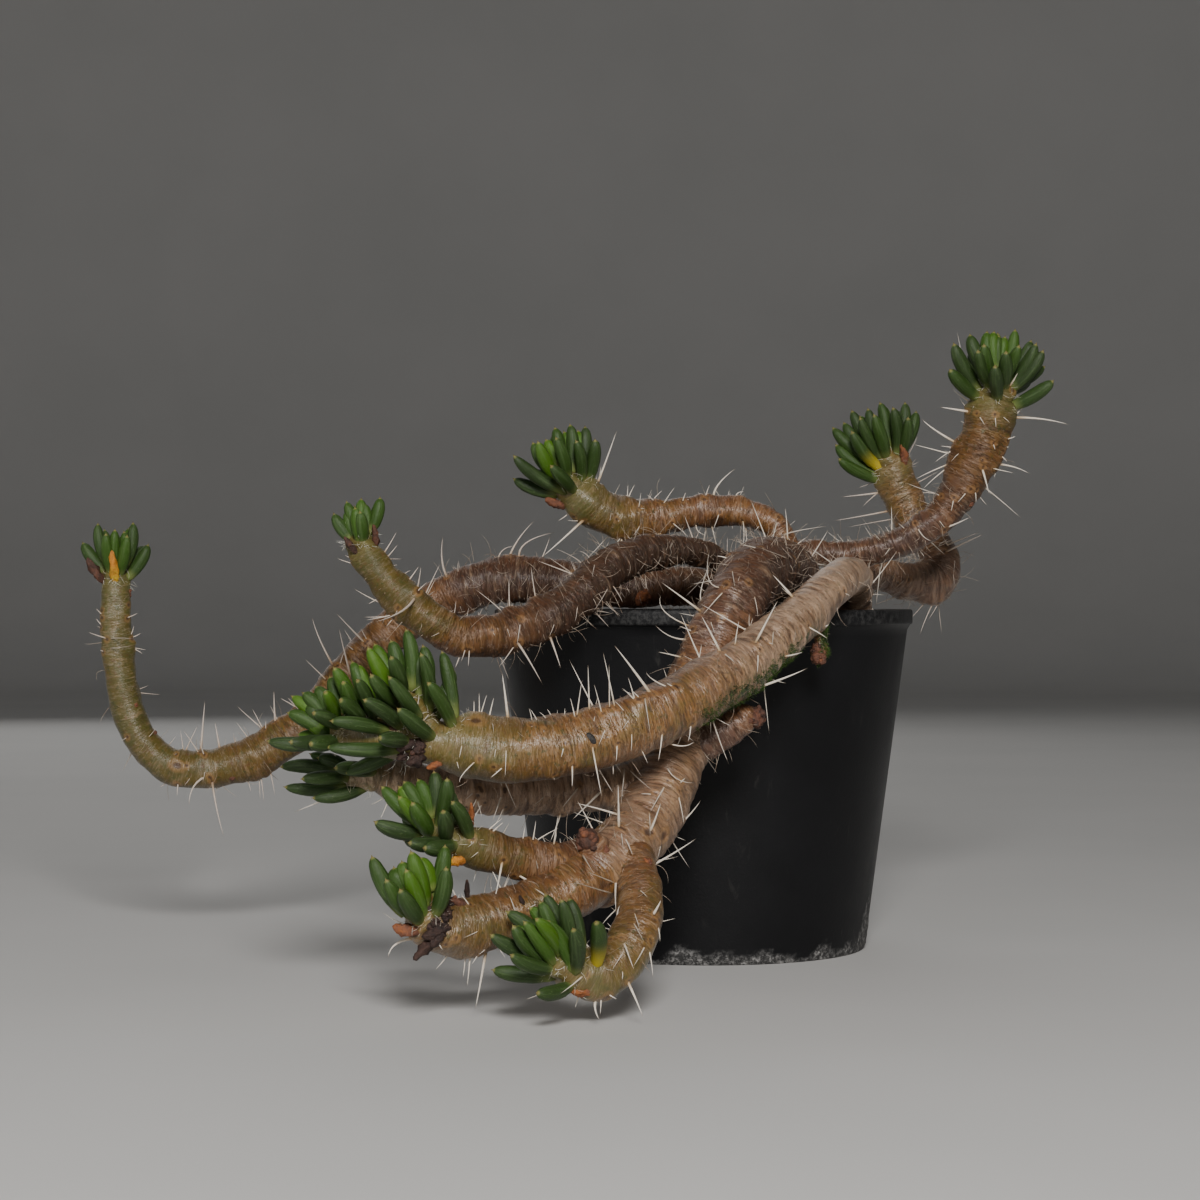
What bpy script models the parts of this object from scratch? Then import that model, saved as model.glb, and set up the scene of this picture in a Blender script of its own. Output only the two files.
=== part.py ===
"""A maihuenia, a small spiny cactus with plump green leaves, growing in a round black nursery pot.

Metres, +Z up. The origin is the centre of the pot's underside, the plant leans to -X and hangs over the -Y side.
"""

import math
import random
from typing import NamedTuple

import bmesh
import bpy
from mathutils import Vector

MM = 0.001
TOUCH_GAP = 0.3 * MM
GOLDEN_ANGLE = math.radians(137.508)
SEED = 41

# Pot: a 9 cm round nursery pot with a short band under its rim.
POT_HEIGHT = 73 * MM
POT_BASE_RADIUS = 35 * MM
POT_WALL_TOP_RADIUS = 44.3 * MM
POT_WALL = 1.2 * MM
POT_FLOOR = 1.8 * MM
POT_SEGMENTS = 48
BAND_HEIGHT = 3.2 * MM
BAND_RADIUS = 45.3 * MM
BAND_TOP_WIDTH = 1.5 * MM
EDGE = 0.5 * MM
DRAIN_HOLES = 6
DRAIN_HOLE_RADIUS = 3.5 * MM
DRAIN_RING_RADIUS = 24 * MM

# Soil: it fills the pot to a little below the rim.
SOIL_EDGE_HEIGHT = 65.5 * MM
SOIL_CENTRE_HEIGHT = 67.5 * MM
SOIL_UNEVENNESS = 0.5 * MM
SOIL_SEGMENTS = 24
SOIL_RINGS = 5
STEM_FOOT = 45 * MM
HOLE_SIDES = 12
SHARP_ANGLE = 35

# Stems and spines. A spine's root and a turn's jitter are a share of the stem's radius and an angle in radians.
STEM_STEP = 5.2 * MM
STEM_SIDES = 8
BODY_STEP = 2 * MM
SPINE_RADIUS = 0.42 * MM
SPINE_SIDES = 3
SPINE_ROOT = 0.55
SPINE_LEAN = 24
SPINE_TURN_JITTER = 0.35
SPINE_END_MARGIN = 1.5 * MM
SPINE_SAMPLES = 6
SPINE_CLEARANCE = 0.9 * MM
SPINE_TRIES = 24
LOWEST = 0.7 * MM

# Leaves: plump, round in section, tapering to a short point, curving in towards their head's axis. On a head that
# lies on its side they lift a little towards the light.
LEAF_SIDES = 5
LEAF_PROFILE = ((0.0, 0.7), (0.4, 1.0), (0.88, 0.74))
LEAF_SAMPLES = 6
LEAF_CLEARANCE = 0.35 * MM
LEAF_TRIES = 200
LEAF_LIFT = 0.28
LEAF_ROOT = 0.35
LEAF_CURL_AHEAD = 0.16
LEAF_CURL_IN = 0.1
LEAF_LENGTHS = (0.88, 1.08)
LEAF_TURN_JITTER = 0.25
SPLAY_JITTER = 6
SPLAY_EASE = 1.15
SPACING_EASE = 0.9
CROWDED_SPLAY = 0.85
CROWDED_LENGTH = 0.25
CORE_STEP = 2.6 * MM
CORE_START = 0.94
NEAR_STEM_TIP = 3

# Stem routes, in millimetres: x, y, z and the stem's radius. The first three points of a rooted stem stand upright.
LIMBS = {
    "far_left": [
        (8, 14, 45, 4.4), (8, 14, 57, 4.4), (8, 14, 70, 4.4), (3, 11, 76.5, 4.3), (-6, 6, 78, 4.2),
        (-16, 3, 77.6, 4.3), (-27, 2, 78.6, 4.6), (-38, 3, 79.3, 4.9), (-48, 4, 78.6, 4.9), (-59, 5, 74.3, 4.7),
        (-69, 5, 67.3, 4.6), (-77.5, 4, 58.5, 4.5), (-86, 3, 48.5, 4.4), (-95, 2, 42.2, 4.3),
        (-105, 1, 38.6, 4.1), (-114.5, 0, 38.6, 3.8), (-121.4, -1, 44, 3.6), (-124.9, -2, 52, 3.5),
        (-126.4, -3, 61, 3.3), (-126.9, -4, 70, 3.1), (-127.1, -4, 79.5, 3.1),
    ],
    "left": [
        (7.5, 1.5, 45, 2.8), (7.5, 1.5, 57, 2.8), (7.5, 1.5, 70, 2.8), (6.5, -3, 78.5, 2.7), (2, -12, 84, 2.6),
        (-5, -21, 85.4, 2.8), (-13.5, -30, 84.4, 3.8), (-20.5, -37.5, 81.4, 4.1), (-25.5, -45, 76.8, 4.2),
        (-32, -51, 72, 4.2), (-41.8, -56, 68.3, 4.1), (-51, -59, 68.2, 3.9), (-57.5, -60.5, 72.3, 3.6),
        (-64, -61, 78.3, 3.3), (-67.5, -61, 83, 2.9), (-69, -61, 86, 2.8),
    ],
    "right_back": [
        (27.5, 13, 45, 3), (27.5, 13, 57, 3), (27.5, 13, 70, 3), (29.5, 16.5, 77.5, 3), (35.5, 23, 81, 2.9),
        (42, 29, 80.8, 3.3), (49, 33, 79.2, 4.3), (54.8, 37, 79.8, 4.8), (56, 40.5, 85.4, 4.6), (51.5, 43, 92.6, 4.3),
        (47.8, 44, 99.5, 4.2), (45.6, 44, 106.5, 4.1),
    ],
    "front": [
        (32, -8, 45, 3.8), (32, -8, 57, 3.8), (32, -8, 70, 3.8), (31.5, -14, 76.5, 3.8), (30, -25, 79.8, 3.9),
        (27.5, -36, 79.6, 3.9), (23.5, -46, 77, 4.1), (17.5, -56, 71.8, 4.5), (11, -65, 66.8, 4.9),
        (5, -72, 62.4, 5.2), (-1.5, -79, 58.8, 5.5), (-8.5, -85, 55, 5.7), (-17, -90.5, 51.6, 5.7),
        (-27, -94.5, 48.6, 5.7), (-38, -97, 47.4, 5.8), (-48.8, -98, 48.4, 5.5),
    ],
    "main": [
        (20, -1, 45, 7.6), (20, -1, 57, 7.6), (20, -1, 69, 7.6), (18.8, -6, 76.6, 7.5), (15.8, -17, 80.4, 7.3),
        (12.6, -29, 81, 6.9), (9.4, -41, 80.6, 6.4), (6, -51.5, 77.2, 6.2), (2.4, -58, 70.6, 6.2),
        (-1, -61, 63, 6.3), (-5, -63.5, 55, 6.2), (-8, -68, 46.5, 6.1), (-10.5, -74.5, 38.5, 6.1),
        (-14.5, -82.5, 32, 6), (-20, -90.5, 27, 5.7), (-24.5, -97, 23.5, 5.4),
    ],
    "upper": [
        (17, -3, 79, 3.4), (17.3, -2, 85.5, 3), (15.4, -1, 91, 2.8), (9.8, 0, 94, 2.8), (2.6, 0, 94.3, 3),
        (-4.3, -1, 93.8, 3.3), (-11, -3, 92.4, 4), (-17, -5, 92.4, 4.4), (-21.6, -6, 93.8, 4.5),
        (-25.4, -8, 96.2, 4.3), (-28.2, -9, 98.8, 4),
    ],
    "right_tall": [
        (15, -4, 82, 3.4), (22.5, 0, 85, 2.7), (31, 2, 85, 2.8), (39.5, 2, 86.4, 3), (46, 1, 89.2, 3.3),
        (51, 0, 92.6, 3.6), (54.3, 0, 96.8, 4.1), (57, 0, 101.4, 4.6), (59.8, 0, 107, 4.9), (62, 0, 112.8, 5),
        (63, 0, 118.4, 4.9),
    ],
    "lower_left": [
        (-20, -91, 26.5, 5.2), (-26.5, -98.5, 22.6, 5.2), (-33, -103.5, 20, 5), (-40.5, -107.5, 18, 4.9),
        (-47, -111, 16.8, 4.8), (-51.6, -113.6, 17.6, 4.4), (-53.8, -115, 20.6, 3.9),
    ],
    "lower_middle": [
        (-17, -86, 29.5, 4), (-24, -92.5, 27.6, 3.3), (-30.5, -97.5, 27.3, 3.2), (-36.5, -101, 28, 3.4),
        (-42, -103.5, 29.3, 3.6), (-47.4, -105.4, 31.1, 3.6),
    ],
    "lower_loop": [
        (-17, -87, 29, 3.8), (-16, -94, 25.5, 3.9), (-15, -101, 20.8, 4.1), (-16, -107.5, 15.4, 4.2),
        (-18.8, -111.5, 10.8, 4.2), (-22.6, -114, 8.8, 4.2), (-26.3, -116.4, 9.6, 4.1),
    ],
    "behind_front": [
        (-9, -70, 42, 4.6), (-16, -73, 39.6, 4.3), (-23, -75, 39, 4.2), (-31, -77, 38.4, 4.2),
        (-41, -80.5, 38.5, 4.1), (-50, -84, 39.4, 3.9), (-58, -86.5, 41.2, 3.6), (-63.5, -88, 42.2, 3.4),
    ],
    "stub": [
        (-6, -68, 46, 3.6), (-0.5, -69.5, 48.5, 3.5), (4.2, -70, 51.2, 3), (7.4, -70, 54, 2.4),
    ],
    "dry_bud_main": [(-22.5, -94, 27, 2), (-24, -97, 30.4, 2.4), (-25, -98, 32.8, 1.3)],
    "dry_bud_front": [(21, -52, 71.5, 1.2), (21.3, -52, 67.4, 1), (21.2, -52, 64.8, 1.9), (20.8, -52, 62, 0.9)],
}

# Stem nodes: the limbs that each is grown from, first the one that stands in the soil, and its colour.
STEMS = {
    "stem_far_left": {"limbs": ("far_left",), "colour": (0.40, 0.27, 0.14)},
    "stem_left": {"limbs": ("left",), "colour": (0.38, 0.25, 0.14)},
    "stem_right_back": {"limbs": ("right_back",), "colour": (0.42, 0.27, 0.16)},
    "stem_front": {"limbs": ("front", "dry_bud_front"), "colour": (0.46, 0.30, 0.14)},
    "stem_main": {
        "limbs": (
            "main", "upper", "right_tall", "lower_left", "lower_middle", "lower_loop", "behind_front", "stub",
            "dry_bud_main",
        ),
        "colour": (0.36, 0.22, 0.14),
    },
}

# Spines on each limb: distance between them along the stem, shortest and longest, in millimetres.
SPINES = {
    "far_left": (5.4, 5, 9),
    "left": (4.4, 5, 9),
    "right_back": (3.1, 7, 12),
    "front": (3.4, 7, 13),
    "main": (4.0, 6, 11),
    "upper": (4.0, 5, 9),
    "right_tall": (3.2, 7, 12),
    "lower_left": (3.2, 6, 9),
    "lower_middle": (3.4, 5, 8),
    "lower_loop": (3.2, 5, 8),
    "behind_front": (5.0, 6, 10),
}

# Leaf heads: the limb that each ends, its leaves' largest radius and the outer and inner ones' length in millimetres,
# their angle from the core in degrees, and the head's cores. Each core has its number of leaves and its route (x, y,
# z, radius in millimetres). The first core's route goes on from the limb's end, and a second starts inside the first.
HEADS = {
    "leaves_far_left": {
        "limb": "far_left", "radius": 1.5, "length": (9.5, 10), "splay": (56, 8),
        "cores": [(13, [(-126.9, -4.2, 82, 1.6)])],
    },
    "leaves_left": {
        "limb": "left", "radius": 1.4, "length": (7, 7.2), "splay": (54, 8),
        "cores": [(9, [(-69.4, -61.3, 88.2, 1.3)])],
    },
    "leaves_upper": {
        "limb": "upper", "radius": 1.6, "length": (10.5, 10), "splay": (72, 10),
        "cores": [(20, [(-29.4, -10, 100.2, 3), (-30.8, -11, 102.4, 1.6)])],
    },
    "leaves_right_tall": {
        "limb": "right_tall", "radius": 1.7, "length": (12, 11), "splay": (74, 8),
        "cores": [(24, [(63.8, -0.4, 120.6, 3.8), (64.4, -0.8, 122.8, 1.8)])],
    },
    "leaves_right_back": {
        "limb": "right_back", "radius": 1.7, "length": (12.5, 11), "splay": (72, 8),
        "cores": [(19, [(44.6, 43.6, 108.2, 3), (43.6, 43, 110.2, 1.6)])],
    },
    "leaves_behind_front": {
        "limb": "behind_front", "radius": 1.5, "length": (11, 11), "splay": (46, 8),
        "cores": [(12, [(-67, -88.8, 41.8, 2.4), (-69.8, -89.4, 41.6, 1.4)])],
    },
    "leaves_lower_middle": {
        "limb": "lower_middle", "radius": 1.6, "length": (10.5, 9.5), "splay": (78, 10),
        "cores": [(19, [(-50.8, -106.6, 32.8, 3), (-53.6, -107.8, 35, 1.6)])],
    },
    "leaves_lower_left": {
        "limb": "lower_left", "radius": 1.75, "length": (10.5, 9.5), "splay": (52, 8),
        "cores": [(13, [(-54.4, -116.2, 23.2, 2.6), (-54.8, -117.2, 25.2, 1.5)])],
    },
    "leaves_lower_loop": {
        "limb": "lower_loop", "radius": 1.6, "length": (11.5, 10), "splay": (80, 10),
        "cores": [(20, [(-28.6, -118.4, 11, 3.2), (-31, -120, 12.8, 1.6)])],
    },
    "leaves_front": {
        "limb": "front", "radius": 1.55, "length": (12.6, 11.4), "splay": (74, 14),
        "cores": [
            (32, [(-53, -98.6, 49, 4.8), (-59, -99.4, 49.6, 4.4), (-65, -100, 50.2, 3.6), (-71.6, -100.4, 51.2, 2)]),
            (17, [(-53, -99, 50, 3.2), (-56.2, -100, 54.6, 3.4), (-59, -100.8, 58.2, 1.9)]),
        ],
    },
}

POT_COLOUR = (0.012, 0.012, 0.014)
POT_ROUGHNESS = 0.42
SOIL_COLOUR = (0.050, 0.034, 0.024)
SOIL_ROUGHNESS = 0.95
BARK_ROUGHNESS = 0.6
LEAF_COLOUR = (0.060, 0.230, 0.035)
LEAF_ROUGHNESS = 0.38


class Station(NamedTuple):
    """A place along a stem: its centre, its frame, its radius and how far along it lies."""

    centre: Vector
    along: Vector
    side: Vector
    up: Vector
    radius: float
    distance: float


class Sphere(NamedTuple):
    """A ball of a piece's body, which other pieces keep clear of."""

    node: str
    centre: Vector
    radius: float


class Growth(NamedTuple):
    """A leaf or a spine: the line that it follows from its sunk root to its tip, and its largest radius."""

    line: list
    radius: float


def smooth_line(points, first_tangent=None, per_span=12):
    """A dense smooth line of (position, radius) through the route's points. Where it is upright, it stays so."""
    values = [Vector((x * MM, y * MM, z * MM, radius * MM)) for x, y, z, radius in points]
    last = len(values) - 1
    tangents = [(values[min(i + 1, last)] - values[max(i - 1, 0)]) / 2 for i in range(last + 1)]
    tangents[0] = values[1] - values[0]
    tangents[last] = values[last] - values[last - 1]
    for i in range(1, last):
        if values[i].to_2d() == values[i - 1].to_2d():
            tangents[i].x = tangents[i].y = 0
    if first_tangent is not None:
        tangents[0] = (first_tangent * tangents[0].to_3d().length).to_4d()
        tangents[0].w = values[1].w - values[0].w
    line = []
    for i in range(last):
        for step in range(per_span):
            t = step / per_span
            line.append(
                (2 * t**3 - 3 * t**2 + 1) * values[i]
                + (t**3 - 2 * t**2 + t) * tangents[i]
                + (3 * t**2 - 2 * t**3) * values[i + 1]
                + (t**3 - t**2) * tangents[i + 1]
            )
    line.append(values[last])
    return line


def stations_along(points, step, first_tangent=None):
    """Evenly spaced stations along a route, each frame turned no more than the route bends."""
    line = smooth_line(points, first_tangent)
    lengths = [0.0]
    for a, b in zip(line, line[1:]):
        lengths.append(lengths[-1] + (b - a).to_3d().length)
    count = max(2, round(lengths[-1] / step))
    places = []
    span = 0
    for i in range(count + 1):
        wanted = lengths[-1] * i / count
        while span < len(line) - 2 and lengths[span + 1] < wanted:
            span += 1
        share = (wanted - lengths[span]) / (lengths[span + 1] - lengths[span])
        places.append((line[span].lerp(line[span + 1], share), wanted))
    stations = []
    side = None
    for i, (place, distance) in enumerate(places):
        before = places[max(i - 1, 0)][0].to_3d()
        after = places[min(i + 1, count)][0].to_3d()
        along = (after - before).normalized()
        if i == 0 and first_tangent is not None:
            along = first_tangent.normalized()
        if side is None:
            side = along.orthogonal().normalized()
        else:
            side = (side - along * side.dot(along)).normalized()
        stations.append(Station(place.to_3d(), along, side, along.cross(side), place.w, distance))
    return stations


def station_at(stations, distance):
    """The station at a distance along, between the ones that were worked out."""
    for a, b in zip(stations, stations[1:]):
        if distance <= b.distance:
            break
    share = (distance - a.distance) / (b.distance - a.distance)
    along = a.along.lerp(b.along, share).normalized()
    side = a.side.lerp(b.side, share)
    side = (side - along * side.dot(along)).normalized()
    radius = a.radius + (b.radius - a.radius) * share
    return Station(a.centre.lerp(b.centre, share), along, side, along.cross(side), radius, distance)


def around(station, angle):
    """The direction that points out of the stem at an angle around it."""
    return station.side * math.cos(angle) + station.up * math.sin(angle)


def wall_radius(z):
    """The pot's outer wall radius at a height."""
    return POT_BASE_RADIUS + (POT_WALL_TOP_RADIUS - POT_BASE_RADIUS) * z / (POT_HEIGHT - BAND_HEIGHT)


def clear_of_pot(centre, radius):
    """Whether a ball is clear of the pot, of the soil and of what the pot stands on."""
    if centre.z - radius < LOWEST:
        return False
    if centre.z - radius > POT_HEIGHT + TOUCH_GAP:
        return True
    from_axis = math.hypot(centre.x, centre.y)
    if from_axis - radius > BAND_RADIUS + TOUCH_GAP:
        return True
    inner = wall_radius(centre.z) - POT_WALL - TOUCH_GAP
    return from_axis + radius < inner and centre.z - radius > SOIL_CENTRE_HEIGHT + 2 * SOIL_UNEVENNESS


def is_clear(growth, node, others, clearance):
    """Whether a leaf or a spine keeps clear of every other piece."""
    for centre in growth.line:
        if not clear_of_pot(centre, growth.radius):
            return False
        for other in others:
            reach = growth.radius + other.radius + clearance
            if other.node != node and (other.centre - centre).length_squared < reach * reach:
                return False
    return True


def core_stations(head, limbs):
    """The stations of a head's cores. The first starts a touching gap past the flat end of its stem."""
    end = limbs[head["limb"]][-1]
    start = end.centre + end.along * TOUCH_GAP
    first = (start.x / MM, start.y / MM, start.z / MM, end.radius / MM * CORE_START)
    routes = [route for _, route in head["cores"]]
    return [
        stations_along([first, *routes[0]], CORE_STEP, end.along),
        *(stations_along(route, CORE_STEP) for route in routes[1:]),
    ]


def leaf_growth(core, share, angle, splay, length, radius):
    """A leaf that starts in the core and curves in towards the core's axis."""
    reach = core[-1].distance
    first = radius + TOUCH_GAP
    place = station_at(core, first + (reach - first) * share)
    out = around(place, angle)
    heading = place.along * math.cos(splay) + out * math.sin(splay)
    light = Vector((0, 0, LEAF_LIFT))
    heading = (heading + light - place.along * light.dot(place.along)).normalized()
    curl = (place.along * LEAF_CURL_AHEAD - out * LEAF_CURL_IN) * math.sin(splay)
    root = place.centre + out * place.radius * LEAF_ROOT
    line = []
    for i in range(LEAF_SAMPLES):
        u = i / (LEAF_SAMPLES - 1)
        line.append(root + heading * (length * u) + curl * (length * u * u))
    return Growth(line, radius)


def grow_leaves(name, head, cores, others):
    """A head's leaves in a spiral on each core from its outer to its inner ones, clear of the other pieces."""
    draw = random.Random(f"{SEED} {name}")
    outer_length, inner_length = head["length"]
    outer_splay, inner_splay = head["splay"]
    leaves = []
    for core, (count, _) in zip(cores, head["cores"]):
        for i in range(count):
            share = (i + 0.5) / count
            length = (outer_length + (inner_length - outer_length) * share) * draw.uniform(*LEAF_LENGTHS) * MM
            splay = outer_splay + (inner_splay - outer_splay) * share**SPLAY_EASE
            splay = math.radians(splay + draw.uniform(-SPLAY_JITTER, SPLAY_JITTER))
            angle = i * GOLDEN_ANGLE + draw.uniform(-LEAF_TURN_JITTER, LEAF_TURN_JITTER)
            for attempt in range(LEAF_TRIES):
                bend = attempt / LEAF_TRIES
                leaf = leaf_growth(
                    core,
                    share**SPACING_EASE,
                    angle + draw.uniform(-math.pi, math.pi) * bend,
                    splay * (1 - CROWDED_SPLAY * bend * draw.random()),
                    length * (1 - CROWDED_LENGTH * bend),
                    head["radius"] * MM,
                )
                if is_clear(leaf, name, others, LEAF_CLEARANCE):
                    leaves.append(leaf)
                    break
            else:
                raise ValueError(f"leaf {i} of {name} finds no clear place")
    return leaves


def grow_spines(name, limb, stations, others):
    """A limb's spines in a spiral along it, bent clear of the other pieces. One with no clear place isn't grown."""
    spacing, shortest, longest = SPINES[limb]
    draw = random.Random(f"{SEED} {limb}")
    spines = []
    distance = spacing * MM
    turn = 0
    while distance < stations[-1].distance - SPINE_END_MARGIN:
        place = station_at(stations, distance)
        for _ in range(SPINE_TRIES):
            angle = turn * GOLDEN_ANGLE + draw.uniform(-SPINE_TURN_JITTER, SPINE_TURN_JITTER)
            lean = math.radians(draw.uniform(-SPINE_LEAN, SPINE_LEAN))
            out = around(place, angle)
            heading = (out * math.cos(lean) + place.along * math.sin(lean)).normalized()
            root = place.centre + out * place.radius * SPINE_ROOT
            reach = draw.uniform(shortest, longest) * MM + place.radius * (1 - SPINE_ROOT)
            line = [root + heading * (reach * i / (SPINE_SAMPLES - 1)) for i in range(SPINE_SAMPLES)]
            spine = Growth(line, SPINE_RADIUS)
            if is_clear(spine, name, others, SPINE_CLEARANCE):
                spines.append(spine)
                break
        turn += 1
        distance += spacing * MM
    return spines


def material(name, colour, roughness):
    """A plain material."""
    made = bpy.data.materials.new(name)
    made.use_nodes = True
    shader = made.node_tree.nodes["Principled BSDF"]
    shader.inputs["Base Color"].default_value = (*colour, 1)
    shader.inputs["Roughness"].default_value = roughness
    shader.inputs["Metallic"].default_value = 0
    return made


def new_object(name, mesh_data, collection=None):
    """An object from a bmesh, with its faces pointing out."""
    bmesh.ops.recalc_face_normals(mesh_data, faces=mesh_data.faces)
    mesh = bpy.data.meshes.new(name)
    mesh_data.to_mesh(mesh)
    mesh_data.free()
    made = bpy.data.objects.new(name, mesh)
    (collection or bpy.context.scene.collection).objects.link(made)
    return made


def ring_of(mesh_data, centre, side, up, radius, sides):
    """A ring of points round a centre."""
    ring = []
    for i in range(sides):
        angle = 2 * math.pi * i / sides
        ring.append(mesh_data.verts.new(centre + (side * math.cos(angle) + up * math.sin(angle)) * radius))
    return ring


def join_rings(mesh_data, rings):
    """The faces between rings that follow each other."""
    for low, high in zip(rings, rings[1:]):
        for i in range(len(low)):
            j = (i + 1) % len(low)
            mesh_data.faces.new((low[i], low[j], high[j], high[i]))


def tube(name, stations, sides, collection=None):
    """A closed tube along stations, with flat ends."""
    mesh_data = bmesh.new()
    rings = [ring_of(mesh_data, s.centre, s.side, s.up, s.radius, sides) for s in stations]
    join_rings(mesh_data, rings)
    mesh_data.faces.new(rings[0])
    mesh_data.faces.new(rings[-1])
    return new_object(name, mesh_data, collection)


def pointed(name, growth, profile, sides, collection):
    """A leaf or a spine: rings along its line by its profile of (share, radius share), and a point at its tip."""
    mesh_data = bmesh.new()
    heading = (growth.line[-1] - growth.line[0]).normalized()
    side = heading.orthogonal().normalized()
    up = heading.cross(side)
    spans = len(growth.line) - 1
    rings = []
    for share, width in profile:
        span = min(int(share * spans), spans - 1)
        centre = growth.line[span].lerp(growth.line[span + 1], share * spans - span)
        rings.append(ring_of(mesh_data, centre, side, up, growth.radius * width, sides))
    join_rings(mesh_data, rings)
    tip = mesh_data.verts.new(growth.line[-1])
    for i in range(sides):
        mesh_data.faces.new((rings[-1][i], rings[-1][(i + 1) % sides], tip))
    mesh_data.faces.new(rings[0])
    return new_object(name, mesh_data, collection)


def turned(name, profile, segments):
    """A closed solid turned round the Z axis from a profile of (radius, height) whose ends lie on the axis."""
    mesh_data = bmesh.new()
    x_axis = Vector((1, 0, 0))
    y_axis = Vector((0, 1, 0))
    rings = [ring_of(mesh_data, Vector((0, 0, z)), x_axis, y_axis, r, segments) for r, z in profile[1:-1]]
    join_rings(mesh_data, rings)
    for (_, height), ring in ((profile[0], rings[0]), (profile[-1], rings[-1])):
        pole = mesh_data.verts.new((0, 0, height))
        for i in range(segments):
            mesh_data.faces.new((ring[i], ring[(i + 1) % segments], pole))
    return new_object(name, mesh_data)


def combine(body, pieces, operation):
    """Joins a collection's pieces to a body, or cuts them from it, and removes them."""
    modifier = body.modifiers.new("combine", "BOOLEAN")
    modifier.operation = operation
    modifier.operand_type = "COLLECTION"
    modifier.collection = pieces
    modifier.solver = "EXACT"
    depsgraph = bpy.context.evaluated_depsgraph_get()
    mesh = bpy.data.meshes.new_from_object(body.evaluated_get(depsgraph))
    body.modifiers.clear()
    keep_outer_shell(mesh)
    body.data = mesh
    for piece in list(pieces.objects):
        bpy.data.objects.remove(piece)
    bpy.data.collections.remove(pieces)


def keep_outer_shell(mesh):
    """Removes the walls of hollows that leaves have sealed between them, and loose scraps."""
    mesh_data = bmesh.new()
    mesh_data.from_mesh(mesh)
    unseen = set(mesh_data.verts)
    shells = []
    while unseen:
        edge_of_shell = [unseen.pop()]
        shell = list(edge_of_shell)
        while edge_of_shell:
            here = edge_of_shell.pop()
            for edge in here.link_edges:
                there = edge.other_vert(here)
                if there in unseen:
                    unseen.remove(there)
                    edge_of_shell.append(there)
                    shell.append(there)
        shells.append(shell)
    shells.sort(key=len)
    for shell in shells[:-1]:
        bmesh.ops.delete(mesh_data, geom=shell, context="VERTS")
    mesh_data.to_mesh(mesh)
    mesh_data.free()


def new_collection(name):
    """A collection for the pieces of one Boolean."""
    made = bpy.data.collections.new(name)
    bpy.context.scene.collection.children.link(made)
    return made


def upright(name, x, y, low, high, radius, sides, collection):
    """An upright prism, for a hole."""
    across = Vector((1, 0, 0))
    deep = Vector((0, 1, 0))
    along = Vector((0, 0, 1))
    ends = [Station(Vector((x, y, z)), along, across, deep, radius, z - low) for z in (low, high)]
    return tube(name, ends, sides, collection)


def make_pot():
    """The pot, with drain holes in a ring round the solid middle of its floor."""
    wall_top = POT_HEIGHT - BAND_HEIGHT
    inner_top = BAND_RADIUS - BAND_TOP_WIDTH
    profile = [
        (0, 0),
        (POT_BASE_RADIUS - EDGE, 0),
        (POT_BASE_RADIUS, EDGE),
        (POT_WALL_TOP_RADIUS, wall_top),
        (BAND_RADIUS, wall_top + EDGE),
        (BAND_RADIUS, POT_HEIGHT - EDGE),
        (BAND_RADIUS - EDGE, POT_HEIGHT),
        (inner_top, POT_HEIGHT),
        (POT_WALL_TOP_RADIUS - POT_WALL, wall_top),
        (wall_radius(POT_FLOOR) - POT_WALL, POT_FLOOR),
        (0, POT_FLOOR),
    ]
    pot = turned("pot", profile, POT_SEGMENTS)
    holes = new_collection("drain_holes")
    for i in range(DRAIN_HOLES):
        angle = 2 * math.pi * (i + 0.5) / DRAIN_HOLES
        x = DRAIN_RING_RADIUS * math.cos(angle)
        y = DRAIN_RING_RADIUS * math.sin(angle)
        upright(f"drain_hole_{i}", x, y, -POT_FLOOR, 2 * POT_FLOOR, DRAIN_HOLE_RADIUS, HOLE_SIDES, holes)
    combine(pot, holes, "DIFFERENCE")
    pot.data.shade_smooth()
    pot.data.set_sharp_from_angle(angle=math.radians(SHARP_ANGLE))
    pot.data.materials.clear()
    pot.data.materials.append(material("black_plastic", POT_COLOUR, POT_ROUGHNESS))


def make_soil(limbs):
    """The potting mix, with an uneven top and a plain hole for each rooted stem."""
    draw = random.Random(f"{SEED} soil")
    low = POT_FLOOR + TOUCH_GAP
    profile = [(0, low), (wall_radius(low) - POT_WALL - TOUCH_GAP - EDGE, low)]
    edge = wall_radius(SOIL_EDGE_HEIGHT) - POT_WALL - 2 * TOUCH_GAP
    for i in range(SOIL_RINGS):
        share = i / SOIL_RINGS
        height = SOIL_EDGE_HEIGHT + (SOIL_CENTRE_HEIGHT - SOIL_EDGE_HEIGHT) * share
        profile.append((edge * (1 - share), height))
    profile.append((0, SOIL_CENTRE_HEIGHT))
    soil = turned("soil", profile, SOIL_SEGMENTS)
    for vertex in soil.data.vertices:
        if vertex.co.z > SOIL_EDGE_HEIGHT + TOUCH_GAP:
            vertex.co.z += draw.uniform(-SOIL_UNEVENNESS, SOIL_UNEVENNESS)
    holes = new_collection("stem_holes")
    for stem in STEMS.values():
        foot = limbs[stem["limbs"][0]][0]
        radius = (foot.radius + TOUCH_GAP) / math.cos(math.pi / HOLE_SIDES)
        low = STEM_FOOT - TOUCH_GAP
        name = "hole_" + stem["limbs"][0]
        upright(name, foot.centre.x, foot.centre.y, low, POT_HEIGHT, radius, HOLE_SIDES, holes)
    combine(soil, holes, "DIFFERENCE")
    soil.data.materials.clear()
    soil.data.materials.append(material("potting_mix", SOIL_COLOUR, SOIL_ROUGHNESS))


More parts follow.
